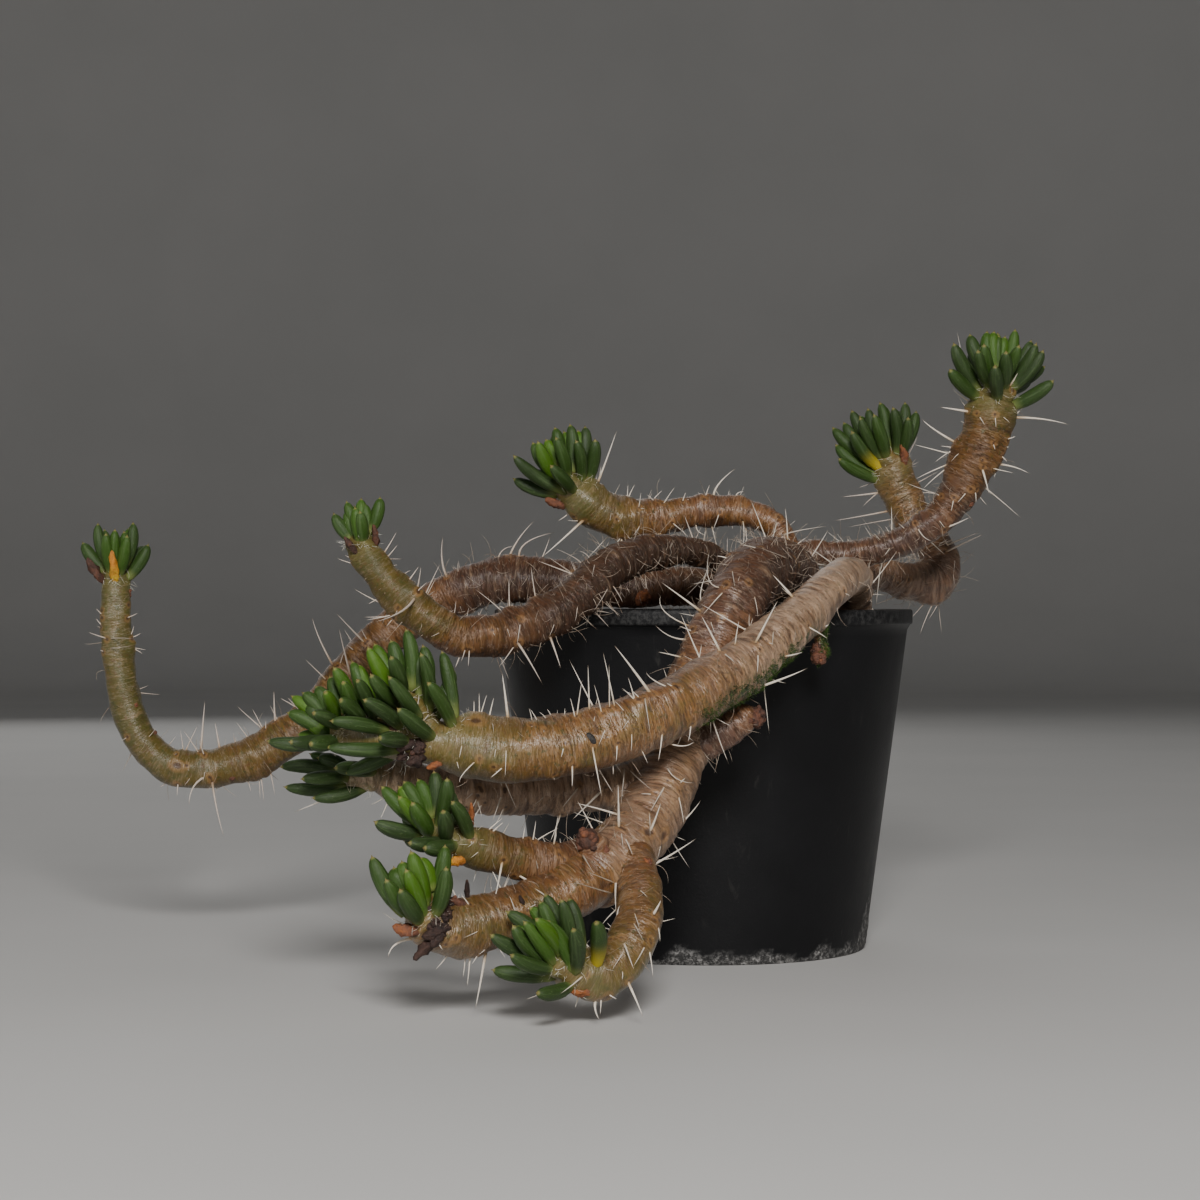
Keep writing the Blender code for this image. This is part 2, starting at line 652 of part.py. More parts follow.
def make_stem(name, stem, limbs, spines):
    """A stem with its branches and its spines as one body."""
    body = tube(name, limbs[stem["limbs"][0]], STEM_SIDES)
    pieces = new_collection(name + "_pieces")
    for limb in stem["limbs"][1:]:
        tube("limb_" + limb, limbs[limb], STEM_SIDES, pieces)
    for i, spine in enumerate(spines):
        pointed(f"spine_{i}", spine, ((0.0, 1.0),), SPINE_SIDES, pieces)
    combine(body, pieces, "UNION")
    body.data.materials.clear()
    body.data.materials.append(material(name + "_bark", stem["colour"], BARK_ROUGHNESS))


def make_head(name, cores, leaves):
    """A head of leaves and the cores that they grow from as one body."""
    body = tube(name, cores[0], STEM_SIDES)
    pieces = new_collection(name + "_pieces")
    for i, core in enumerate(cores[1:]):
        tube(f"core_{i}", core, STEM_SIDES, pieces)
    for i, leaf in enumerate(leaves):
        pointed(f"leaf_{i}", leaf, LEAF_PROFILE, LEAF_SIDES, pieces)
    combine(body, pieces, "UNION")
    body.data.materials.clear()
    body.data.materials.append(material(name + "_green", LEAF_COLOUR, LEAF_ROUGHNESS))


def main():
    """Builds the pot, the soil, the stems and the heads of leaves."""
    for old in list(bpy.data.objects):
        bpy.data.objects.remove(old)
    limbs = {name: stations_along(points, STEM_STEP) for name, points in LIMBS.items()}
    taken = []
    for name, stem in STEMS.items():
        for limb in stem["limbs"]:
            taken += [Sphere(name, s.centre, s.radius) for s in stations_along(LIMBS[limb], BODY_STEP)]
    cores = {name: core_stations(head, limbs) for name, head in HEADS.items()}
    leaves = {}
    for name, head in HEADS.items():
        own_stem = next(stem for stem in STEMS if head["limb"] in STEMS[stem]["limbs"])
        end = limbs[head["limb"]][-1].centre
        near = NEAR_STEM_TIP * limbs[head["limb"]][-1].radius
        others = [s for s in taken if s.node != own_stem or (s.centre - end).length > near]
        leaves[name] = grow_leaves(name, head, cores[name], others)
        taken += [Sphere(name, s.centre, s.radius) for core in cores[name] for s in core]
        taken += [Sphere(name, centre, leaf.radius) for leaf in leaves[name] for centre in leaf.line]
    make_pot()
    make_soil(limbs)
    for name, stem in STEMS.items():
        spines = []
        for limb in stem["limbs"]:
            if limb in SPINES:
                spines += grow_spines(name, limb, limbs[limb], taken)
        taken += [Sphere(name, centre, SPINE_RADIUS) for spine in spines for centre in spine.line]
        make_stem(name, stem, limbs, spines)
    for name in HEADS:
        make_head(name, cores[name], leaves[name])


main()
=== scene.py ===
"""The looks of a potted maihuenia: wrinkled, spiny stems, heads of plump leaves, a black pot and its soil.

Metres, +Z up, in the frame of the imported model. Routes and the rules by which leaves and spines grow are
the part's.
"""

import math
import random
from typing import NamedTuple

import bmesh
import bpy
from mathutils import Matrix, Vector
from mathutils.kdtree import KDTree
from mathutils.noise import noise


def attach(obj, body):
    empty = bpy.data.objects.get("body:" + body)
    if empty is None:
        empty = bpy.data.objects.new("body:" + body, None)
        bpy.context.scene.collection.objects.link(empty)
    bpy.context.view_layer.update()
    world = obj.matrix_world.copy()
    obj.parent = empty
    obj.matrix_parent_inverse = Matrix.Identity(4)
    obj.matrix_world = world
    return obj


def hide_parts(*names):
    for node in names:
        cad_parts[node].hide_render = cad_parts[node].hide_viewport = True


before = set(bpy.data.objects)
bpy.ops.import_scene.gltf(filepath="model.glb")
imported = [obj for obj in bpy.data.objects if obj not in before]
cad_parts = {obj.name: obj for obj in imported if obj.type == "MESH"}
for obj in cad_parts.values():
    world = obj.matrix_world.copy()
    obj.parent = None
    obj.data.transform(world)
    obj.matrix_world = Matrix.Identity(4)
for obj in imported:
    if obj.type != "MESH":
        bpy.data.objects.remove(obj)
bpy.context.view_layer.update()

MM = 0.001
TOUCH_GAP = 0.3 * MM
GOLDEN_ANGLE = math.radians(137.508)
SEED = 41

# Camera: level, as far away and as long as the photograph's.
CAMERA_PLACE = (-0.0224, -0.611, 0.075)
SENSOR_WIDTH = 36
LENS = 84.3
CLIP = (0.02, 20)

# The photograph's middle and its focal length, in pixels, for what is placed by its pixels. An offset that
# is shorter than LEAST_LENGTH gives no direction.
PHOTO_MIDDLE = 600
PHOTO_FOCAL = 2810
LEAST_LENGTH = 0.01

# Pot.
POT_HEIGHT = 73 * MM
POT_BASE_RADIUS = 35 * MM
POT_WALL_TOP_RADIUS = 44.3 * MM
POT_WALL = 1.2 * MM
POT_FLOOR = 1.8 * MM
POT_SEGMENTS = 160
BAND_HEIGHT = 3.2 * MM
BAND_RADIUS = 45.3 * MM
BAND_TOP_WIDTH = 1.5 * MM
EDGE = 0.5 * MM
EDGE_STEPS = 4
WALL_STEPS = 60
DRAIN_HOLES = 6
DRAIN_HOLE_RADIUS = 3.5 * MM
DRAIN_RING_RADIUS = 24 * MM
HOLE_SEGMENTS = 32
HOLE_CUT = 4 * POT_FLOOR
CRUST_HEIGHT = 7 * MM
CRUST_DEPTH = 0.25 * MM
CRUST_FADE = 1.5 * MM
CRUST_SCALE = 160
CRUST_LEAST = 0.36
CRUST_PATCHES = 0.5
CRUST_CLIMB = 1.3
CRUST_SIDE = 1.3
CRUST_SIDE_WIDTH = 0.16
CRUST_GRAIN = 700
CRUST_BODY = 0.5
CRUST_TOP = 3 * CRUST_HEIGHT
RIM_DUST = 0.1
SHARP_ANGLE = 50

# Soil.
SOIL_EDGE_HEIGHT = 65.5 * MM
SOIL_CENTRE_HEIGHT = 67.5 * MM
SOIL_UNEVENNESS = 0.5 * MM
SOIL_SCALE = 110
CRUMBS = 0.7
CRUMB_SCALE = 420
SOIL_RINGS = 34
SOIL_SEGMENTS = 120
GRAINS = 900
GRAIN_RADII = (0.5 * MM, 1.7 * MM)
GRAIN_SIZES = (0.6, 1)
GRAIN_LIFTS = (-0.1, 0.35)
GRAIN_STRETCHES = ((0.7, 1.25), (0.7, 1.25), (0.55, 0.9))
GRAIN_SCALE = 1.3
GRAIN_UNEVENNESS = 0.45
GRAIN_OFFSETS = (-50, 50)

# The kinds of grain: their share of all, and their look's name, scale, roughness and stops of colour.
GRAIN_KINDS = {
    "bark_chips": (0.5, "bark_chip", 900, 0.9, (0.3, (0.03, 0.018, 0.01)), (0.7, (0.13, 0.075, 0.04))),
    "grit": (0.3, "grit", 700, 0.8, (0.3, (0.14, 0.13, 0.12)), (0.7, (0.36, 0.33, 0.29))),
    "pumice": (0.2, "pumice", 1500, 0.9, (0.35, (0.45, 0.42, 0.36)), (0.6, (0.75, 0.72, 0.66))),
}

# Stems and spines, as the part grows them.
STEM_STEP = 5.2 * MM
BODY_STEP = 2 * MM
SPINE_RADIUS = 0.42 * MM
SPINE_ROOT = 0.55
SPINE_LEAN = 24
SPINE_TURN_JITTER = 0.35
SPINE_END_MARGIN = 1.5 * MM
SPINE_SAMPLES = 6
SPINE_CLEARANCE = 0.9 * MM
SPINE_TRIES = 24
LOWEST = 0.7 * MM

# Leaves, as the part grows them.
LEAF_SAMPLES = 6
LEAF_CLEARANCE = 0.35 * MM
LEAF_TRIES = 200
LEAF_LIFT = 0.28
LEAF_ROOT = 0.35
LEAF_CURL_AHEAD = 0.16
LEAF_CURL_IN = 0.1
LEAF_LENGTHS = (0.88, 1.08)
LEAF_TURN_JITTER = 0.25
SPLAY_JITTER = 6
SPLAY_EASE = 1.15
SPACING_EASE = 0.9
CROWDED_SPLAY = 0.85
CROWDED_LENGTH = 0.25
CORE_STEP = 2.6 * MM
CORE_START = 0.94
NEAR_STEM_TIP = 3
LINE_STEPS = 12

# Fine surfaces that only the looks have.
FINE_LINE_STEPS = 40
SKIN_STEP = 0.34 * MM
SKIN_SIDE = 0.75 * MM
SKIN_FEWEST_SIDES = 30
SKIN_FIRST_HEIGHT = 60 * MM
SKIN_FIRST_SHARE = 0.2
SKIN_OFFSET = 300
TIP_DOME = 1.6 * MM
TIP_END = 0.985
ROOT_DOME = 1.1
ROOT_END = 0.98
ROOT_LEAST = 0.15
ROOT_SWELL = (0.8, 1.5)
RADIUS_BLUR = 8
SHORT_LIMB = 24 * MM
SHORT_LIMB_BLUR = 1
BEND_STATIONS = 6
# Orange-brown inside bends and darker orange-brown on top of each limb, and painted shade on its underside.
BEND_BROWNING = 1.6
TOP_BROWNING = 0.8
TOP_BROWNING_Z = 0.4
UNDERSIDE_SHADE = 0.9
UNDERSIDE_SHADE_Z = 0.45
BROWNING_AND_SHADE_FADE = 0.5
JOINT_REACH = 3.6 * MM
JOINT_SWELL = 0.8 * MM
TUBERCLE_HEIGHT = 0.42 * MM
TUBERCLE_LENGTH = 1.9 * MM
TUBERCLE_WIDTH = 1.6 * MM
AREOLE_SIZE = 0.6 * MM
AREOLE_DEPTH = 0.3 * MM
AREOLE_REACH = 3
MARK_REACH = 3 * TUBERCLE_LENGTH
DARK_SPREAD = 1.6
LUMP_SCALE = 0.16
LUMP_SHARE = 0.05
DIMPLE_SCALE = 0.34
DIMPLE_HEIGHT = 0.26 * MM
WRINKLE_HEIGHT = 0.25 * MM
WRINKLE_ALONG = 0.95
WRINKLE_AROUND = 0.17
FINE_WRINKLE_SCALE = 2.1
FINE_WRINKLE_SHARE = 0.55
YOUNG_WRINKLES = 0.16
OLD_WRINKLES = 1.2
FULL_RELIEF_RADIUS = 2.5 * MM
WOOL_SMOOTHING = 0.5
RIDGE_MIDDLE = 0.5
RIDGE_WRINKLES = 0.5
RIDGE_DIMPLES = 0.3

# Spines and areoles. SEEN_SIDE is the largest y of a direction out of a stem on the side that the
# photograph shows. SPINE_SINK and the ranges of radii are in millimetres. Each kind of areole has its range
# of numbers of short spines, and their range of lengths in millimetres.
SEEN_SIDE = 0.1
SEEN_SHARES = (1, 0.9, 0.8, 0.65, 0.5)
SEEN_SPINE_STEPS = 8
SPINE_MAX_LEAN = 0.45
SPINE_LEAST_RISE = 0.22
SPINE_SIDE_ON = 0.2
SPINE_SINK = 0.4
SPINE_TAPER = 0.75
SPINE_FOOT = 1.25
SPINE_SIDES = 6
FREE_SHARES = (1, 0.75, 0.5, 0.3)
FREE_SPINE_STEPS = 7
BOW_SIDEWAYS = 0.16
BOW_ALONG = 0.1
LONG_SPINE_RADII = (0.16, 0.23)
SHORT_SPINE_RADII = (0.1, 0.15)
SHORT_SPINE_SINK = 0.25 * MM
SHORT_SPINE_CLEARANCE = 0.2 * MM
SHORT_SIDEWAYS = (0.35, 1.3)
SHORT_ALONG = (-0.7, 0.35)
SHORT_OUT = (0.35, 1)
SHORT_BOW = 0.12
BESIDE_LONG = ((2, 3), (2.2, 4.8))
SMALL_UNSEEN = ((1, 3), (1.4, 4.2))
SMALL_SEEN = ((1, 1), (0.9, 2.2))
SMALL_AREOLES = 2
SMALL_SHARE = 0.8
SEEN_SMALL_SHARE = 0.35
SMALL_JITTER = 0.12
SMALL_TURN_JITTER = 0.4

# Leaves as the photograph shows them.
LEAF_FOOT_HEIGHT = 0.5 * MM
LEAF_FOOT_SIZE = 1.3 * MM
LEAF_POINT = 0.45
LEAF_SLIMNESS = 0.93
LEAF_BOW = 0.07
LEAF_MAX_LEAN = 0.75
BACK_LEAF_LENGTH = 0.86
LEAF_LEAST_LEAN = 1.06
DRIED_LEAN = 1.12
LEAF_SINK = 0.9 * MM
CORE_SLIMNESS = 0.86
SIDE_CORE_SKIN = {"age": 0.1, "wool": 1.0, "ridge": RIDGE_MIDDLE}
LEAF_ROOT_REACH = 0.9
LEAFY_END = 4 * MM
LEAF_RING_COUNT = 15
LEAF_RING_EASE = 1.35
LEAF_SIDES = 14
LEAF_WIDTHS = (0.93, 1.07)
LEAF_UNEVEN_ALONG = 0.35
LEAF_UNEVEN_ACROSS = 0.9
LEAF_OFFSETS = (0, 300)
LEAF_UNEVENNESS = 0.045
LEAF_FLATNESS = 0.1
YELLOWNESS = 0.95
YELLOW_SHARE = 0.6
DRIED_STEPS = 10
DRIED_SIDES = 16
DRIED_WIDTHS = (0.35, 0.75)
DRIED_EASE = 0.8
DRIED_NOISE = (0.55, 1.9)
DRIED_UNEVENNESS = 0.6
DRIED_FINE_SCALE = 2.3
DRIED_FINE_UNEVENNESS = 0.3
LEAF_PROFILE = (
    (0, 0.6), (0.12, 0.78), (0.3, 0.95), (0.5, 1), (0.64, 0.97), (0.76, 0.88), (0.86, 0.72), (0.93, 0.53),
    (0.975, 0.32), (1, 0.1),
)

# Stem routes, in millimetres: x, y, z and the stem's radius. A rooted stem's first three points are upright.
LIMBS = {
    "far_left": [
        (8, 14, 45, 4.4), (8, 14, 57, 4.4), (8, 14, 70, 4.4), (3, 11, 76.5, 4.3), (-6, 6, 78, 4.2),
        (-16, 3, 77.6, 4.3), (-27, 2, 78.6, 4.6), (-38, 3, 79.3, 4.9), (-48, 4, 78.6, 4.9),
        (-59, 5, 74.3, 4.7), (-69, 5, 67.3, 4.6), (-77.5, 4, 58.5, 4.5), (-86, 3, 48.5, 4.4),
        (-95, 2, 42.2, 4.3), (-105, 1, 38.6, 4.1), (-114.5, 0, 38.6, 3.8), (-121.4, -1, 44, 3.6),
        (-124.9, -2, 52, 3.5), (-126.4, -3, 61, 3.3), (-126.9, -4, 70, 3.1), (-127.1, -4, 79.5, 3.1),
    ],
    "left": [
        (7.5, 1.5, 45, 2.8), (7.5, 1.5, 57, 2.8), (7.5, 1.5, 70, 2.8), (6.5, -3, 78.5, 2.7),
        (2, -12, 84, 2.6), (-5, -21, 85.4, 2.8), (-13.5, -30, 84.4, 3.8), (-20.5, -37.5, 81.4, 4.1),
        (-25.5, -45, 76.8, 4.2), (-32, -51, 72, 4.2), (-41.8, -56, 68.3, 4.1), (-51, -59, 68.2, 3.9),
        (-57.5, -60.5, 72.3, 3.6), (-64, -61, 78.3, 3.3), (-67.5, -61, 83, 2.9), (-69, -61, 86, 2.8),
    ],
    "right_back": [
        (27.5, 13, 45, 3), (27.5, 13, 57, 3), (27.5, 13, 70, 3), (29.5, 16.5, 77.5, 3), (35.5, 23, 81, 2.9),
        (42, 29, 80.8, 3.3), (49, 33, 79.2, 4.3), (54.8, 37, 79.8, 4.8), (56, 40.5, 85.4, 4.6),
        (51.5, 43, 92.6, 4.3), (47.8, 44, 99.5, 4.2), (45.6, 44, 106.5, 4.1),
    ],
    "front": [
        (32, -8, 45, 3.8), (32, -8, 57, 3.8), (32, -8, 70, 3.8), (31.5, -14, 76.5, 3.8),
        (30, -25, 79.8, 3.9), (27.5, -36, 79.6, 3.9), (23.5, -46, 77, 4.1), (17.5, -56, 71.8, 4.5),
        (11, -65, 66.8, 4.9), (5, -72, 62.4, 5.2), (-1.5, -79, 58.8, 5.5), (-8.5, -85, 55, 5.7),
        (-17, -90.5, 51.6, 5.7), (-27, -94.5, 48.6, 5.7), (-38, -97, 47.4, 5.8), (-48.8, -98, 48.4, 5.5),
    ],
    "main": [
        (20, -1, 45, 7.6), (20, -1, 57, 7.6), (20, -1, 69, 7.6), (18.8, -6, 76.6, 7.5),
        (15.8, -17, 80.4, 7.3), (12.6, -29, 81, 6.9), (9.4, -41, 80.6, 6.4), (6, -51.5, 77.2, 6.2),
        (2.4, -58, 70.6, 6.2), (-1, -61, 63, 6.3), (-5, -63.5, 55, 6.2), (-8, -68, 46.5, 6.1),
        (-10.5, -74.5, 38.5, 6.1), (-14.5, -82.5, 32, 6), (-20, -90.5, 27, 5.7), (-24.5, -97, 23.5, 5.4),
    ],
    "upper": [
        (17, -3, 79, 3.4), (17.3, -2, 85.5, 3), (15.4, -1, 91, 2.8), (9.8, 0, 94, 2.8), (2.6, 0, 94.3, 3),
        (-4.3, -1, 93.8, 3.3), (-11, -3, 92.4, 4), (-17, -5, 92.4, 4.4), (-21.6, -6, 93.8, 4.5),
        (-25.4, -8, 96.2, 4.3), (-28.2, -9, 98.8, 4),
    ],
    "right_tall": [
        (15, -4, 82, 3.4), (22.5, 0, 85, 2.7), (31, 2, 85, 2.8), (39.5, 2, 86.4, 3), (46, 1, 89.2, 3.3),
        (51, 0, 92.6, 3.6), (54.3, 0, 96.8, 4.1), (57, 0, 101.4, 4.6), (59.8, 0, 107, 4.9),
        (62, 0, 112.8, 5), (63, 0, 118.4, 4.9),
    ],
    "lower_left": [
        (-20, -91, 26.5, 5.2), (-26.5, -98.5, 22.6, 5.2), (-33, -103.5, 20, 5), (-40.5, -107.5, 18, 4.9),
        (-47, -111, 16.8, 4.8), (-51.6, -113.6, 17.6, 4.4), (-53.8, -115, 20.6, 3.9),
    ],
    "lower_middle": [
        (-17, -86, 29.5, 4), (-24, -92.5, 27.6, 3.3), (-30.5, -97.5, 27.3, 3.2), (-36.5, -101, 28, 3.4),
        (-42, -103.5, 29.3, 3.6), (-47.4, -105.4, 31.1, 3.6),
    ],
    "lower_loop": [
        (-17, -87, 29, 3.8), (-16, -94, 25.5, 3.9), (-15, -101, 20.8, 4.1), (-16, -107.5, 15.4, 4.2),
        (-18.8, -111.5, 10.8, 4.2), (-22.6, -114, 8.8, 4.2), (-26.3, -116.4, 9.6, 4.1),
    ],
    "behind_front": [
        (-9, -70, 42, 4.6), (-16, -73, 39.6, 4.3), (-23, -75, 39, 4.2), (-31, -77, 38.4, 4.2),
        (-41, -80.5, 38.5, 4.1), (-50, -84, 39.4, 3.9), (-58, -86.5, 41.2, 3.6), (-63.5, -88, 42.2, 3.4),
    ],
    "stub": [(-6, -68, 46, 3.6), (-0.5, -69.5, 48.5, 3.5), (4.2, -70, 51.2, 3), (7.4, -70, 54, 2.4)],
    "dry_bud_main": [(-22.5, -94, 27, 2), (-24, -97, 30.4, 2.4), (-25, -98, 32.8, 1.3)],
    "dry_bud_front": [
        (21, -52, 71.5, 1.2), (21.3, -52, 67.4, 1), (21.2, -52, 64.8, 1.9), (20.8, -52, 62, 0.9),
    ],
}

# Stem nodes: the limbs that each is grown from and the material slot of the record.
STEMS = {
    "stem_far_left": {"limbs": ("far_left",), "slot": "young_stem", "spines": "dim"},
    "stem_left": {"limbs": ("left",), "slot": "old_stem", "spines": "dim"},
    "stem_right_back": {"limbs": ("right_back",), "slot": "young_stem", "spines": "dim"},
    "stem_front": {"limbs": ("front", "dry_bud_front"), "slot": "young_stem", "spines": "bright"},
    "stem_main": {
        "limbs": (
            "main", "upper", "right_tall", "lower_left", "lower_middle", "lower_loop", "behind_front", "stub",
            "dry_bud_main",
        ),
        "slot": "old_stem",
        "spines": "bright",
    },
}

# Spines on each limb: distance between them along the stem, shortest and longest, in millimetres.
SPINES = {
    "far_left": (5.4, 5, 9),
    "left": (4.4, 5, 9),
    "right_back": (3.1, 7, 12),
    "front": (3.4, 7, 13),
    "main": (4.0, 6, 11),
    "upper": (4.0, 5, 9),
    "right_tall": (3.2, 7, 12),
    "lower_left": (3.2, 6, 9),
    "lower_middle": (3.4, 5, 8),
    "lower_loop": (3.2, 5, 8),
    "behind_front": (5.0, 6, 10),
}

# Bark's age along each limb, by (share of its length, age): 0 is olive-green, a third is golden and 1 is
# purple-brown.
AGES = {
    "far_left": (
        (0, 0.8), (0.2, 0.7), (0.26, 0.9), (0.34, 1), (0.41, 0.95), (0.455, 0.58), (0.52, 0.42),
        (0.62, 0.34), (0.7, 0.2), (0.8, 0.1), (0.9, 0.03), (1, 0),
    ),
    "left": ((0, 0.9), (0.35, 1.05), (0.5, 1.1), (0.64, 0.95), (0.8, 0.5), (0.88, 0.16), (1, 0.05)),
    "right_back": ((0, 0.6), (0.5, 0.7), (0.7, 0.75), (0.82, 0.36), (1, 0.2)),
    "front": ((0, 0.52), (0.3, 0.46), (0.6, 0.4), (0.85, 0.3), (1, 0.14)),
    "main": ((0, 1.05), (0.46, 1), (0.6, 0.75), (0.7, 0.46), (1, 0.42)),
    "upper": ((0, 0.6), (0.3, 0.5), (0.6, 0.38), (0.82, 0.2), (1, 0.04)),
    "right_tall": ((0, 0.75), (0.45, 0.85), (0.62, 0.75), (0.76, 0.46), (0.9, 0.26), (1, 0.06)),
    "lower_left": ((0, 0.46), (0.5, 0.3), (0.85, 0.2), (1, 0.3)),
    "lower_middle": ((0, 0.7), (0.5, 0.62), (0.8, 0.24), (1, 0.06)),
    "lower_loop": ((0, 0.42), (0.5, 0.28), (1, 0.12)),
    "behind_front": ((0, 0.6), (0.5, 0.52), (0.85, 0.46), (1, 0.3)),
    "stub": ((0, 0.8), (0.8, 0.62), (1, 0.55)),
    "dry_bud_main": ((0, 0.6), (1, 0.6)),
    "dry_bud_front": ((0, 0.4), (1, 0.3)),
}

# How much paler (above 0) or darker (below 0) a limb's skin is than its age makes it, from root to tip. This
# is partly the bark's own colour and partly painted light and shade: paler on the front stem and on the limb
# that lies in its shadow, darker on the limbs that less light reaches.
TONES_AND_PAINTED_LIGHT = {
    "far_left": ((0, -0.46), (0.3, -0.4), (0.45, -0.3), (0.7, -0.26), (1, -0.08)),
    "left": ((0, -0.44), (0.6, -0.47), (1, -0.36)),
    "right_back": ((0, 0.3), (0.6, 0.3), (1, 0.1)),
    "front": ((0, 0.7), (0.35, 1), (0.58, 0.8), (0.75, 0.1), (1, -0.05)),
    "main": ((0, -0.32), (0.5, -0.3), (0.62, 0), (0.75, 0.5), (1, 0.45)),
    "right_tall": ((0, 0), (0.5, -0.15), (0.7, -0.45), (1, -0.36)),
    "lower_middle": ((0, -0.25), (1, -0.45)),
    "behind_front": ((0, 1.2), (1, 1.2)),
}
NO_TONE = ((0, 0), (1, 0))

# Leaf heads: the limb that each ends, its leaves' largest radius and the outer and inner ones' length in
# millimetres, their angle from the core in degrees, and the head's cores. Each core has its number of leaves
# and its route (x, y, z, radius in millimetres). The first core's route goes on from the limb's end, and a
# second starts inside the first.
HEADS = {
    "leaves_far_left": {
        "limb": "far_left", "radius": 1.5, "length": (9.5, 10), "splay": (56, 8),
        "cores": [(13, [(-126.9, -4.2, 82, 1.6)])],
    },
    "leaves_left": {
        "limb": "left", "radius": 1.4, "length": (7, 7.2), "splay": (54, 8),
        "cores": [(9, [(-69.4, -61.3, 88.2, 1.3)])],
    },
    "leaves_upper": {
        "limb": "upper", "radius": 1.6, "length": (10.5, 10), "splay": (72, 10),
        "cores": [(20, [(-29.4, -10, 100.2, 3), (-30.8, -11, 102.4, 1.6)])],
    },
    "leaves_right_tall": {
        "limb": "right_tall", "radius": 1.7, "length": (12, 11), "splay": (74, 8),
        "cores": [(24, [(63.8, -0.4, 120.6, 3.8), (64.4, -0.8, 122.8, 1.8)])],
    },
    "leaves_right_back": {
        "limb": "right_back", "radius": 1.7, "length": (12.5, 11), "splay": (72, 8),
        "cores": [(19, [(44.6, 43.6, 108.2, 3), (43.6, 43, 110.2, 1.6)])],
    },
    "leaves_behind_front": {
        "limb": "behind_front", "radius": 1.5, "length": (11, 11), "splay": (46, 8),
        "cores": [(12, [(-67, -88.8, 41.8, 2.4), (-69.8, -89.4, 41.6, 1.4)])],
    },
    "leaves_lower_middle": {
        "limb": "lower_middle", "radius": 1.6, "length": (10.5, 9.5), "splay": (78, 10),
        "cores": [(19, [(-50.8, -106.6, 32.8, 3), (-53.6, -107.8, 35, 1.6)])],
    },
    "leaves_lower_left": {
        "limb": "lower_left", "radius": 1.75, "length": (10.5, 9.5), "splay": (52, 8),
        "cores": [(13, [(-54.4, -116.2, 23.2, 2.6), (-54.8, -117.2, 25.2, 1.5)])],
    },
    "leaves_lower_loop": {
        "limb": "lower_loop", "radius": 1.6, "length": (11.5, 10), "splay": (80, 10),
        "cores": [(20, [(-28.6, -118.4, 11, 3.2), (-31, -120, 12.8, 1.6)])],
    },
    "leaves_front": {
        "limb": "front", "radius": 1.55, "length": (12.6, 11.4), "splay": (74, 14),
        "cores": [
            (32, [(-53, -98.6, 49, 4.8), (-59, -99.4, 49.6, 4.4), (-65, -100, 50.2, 3.6),
                  (-71.6, -100.4, 51.2, 2)]),
            (17, [(-53, -99, 50, 3.2), (-56.2, -100, 54.6, 3.4), (-59, -100.8, 58.2, 1.9)]),
        ],
    },
}

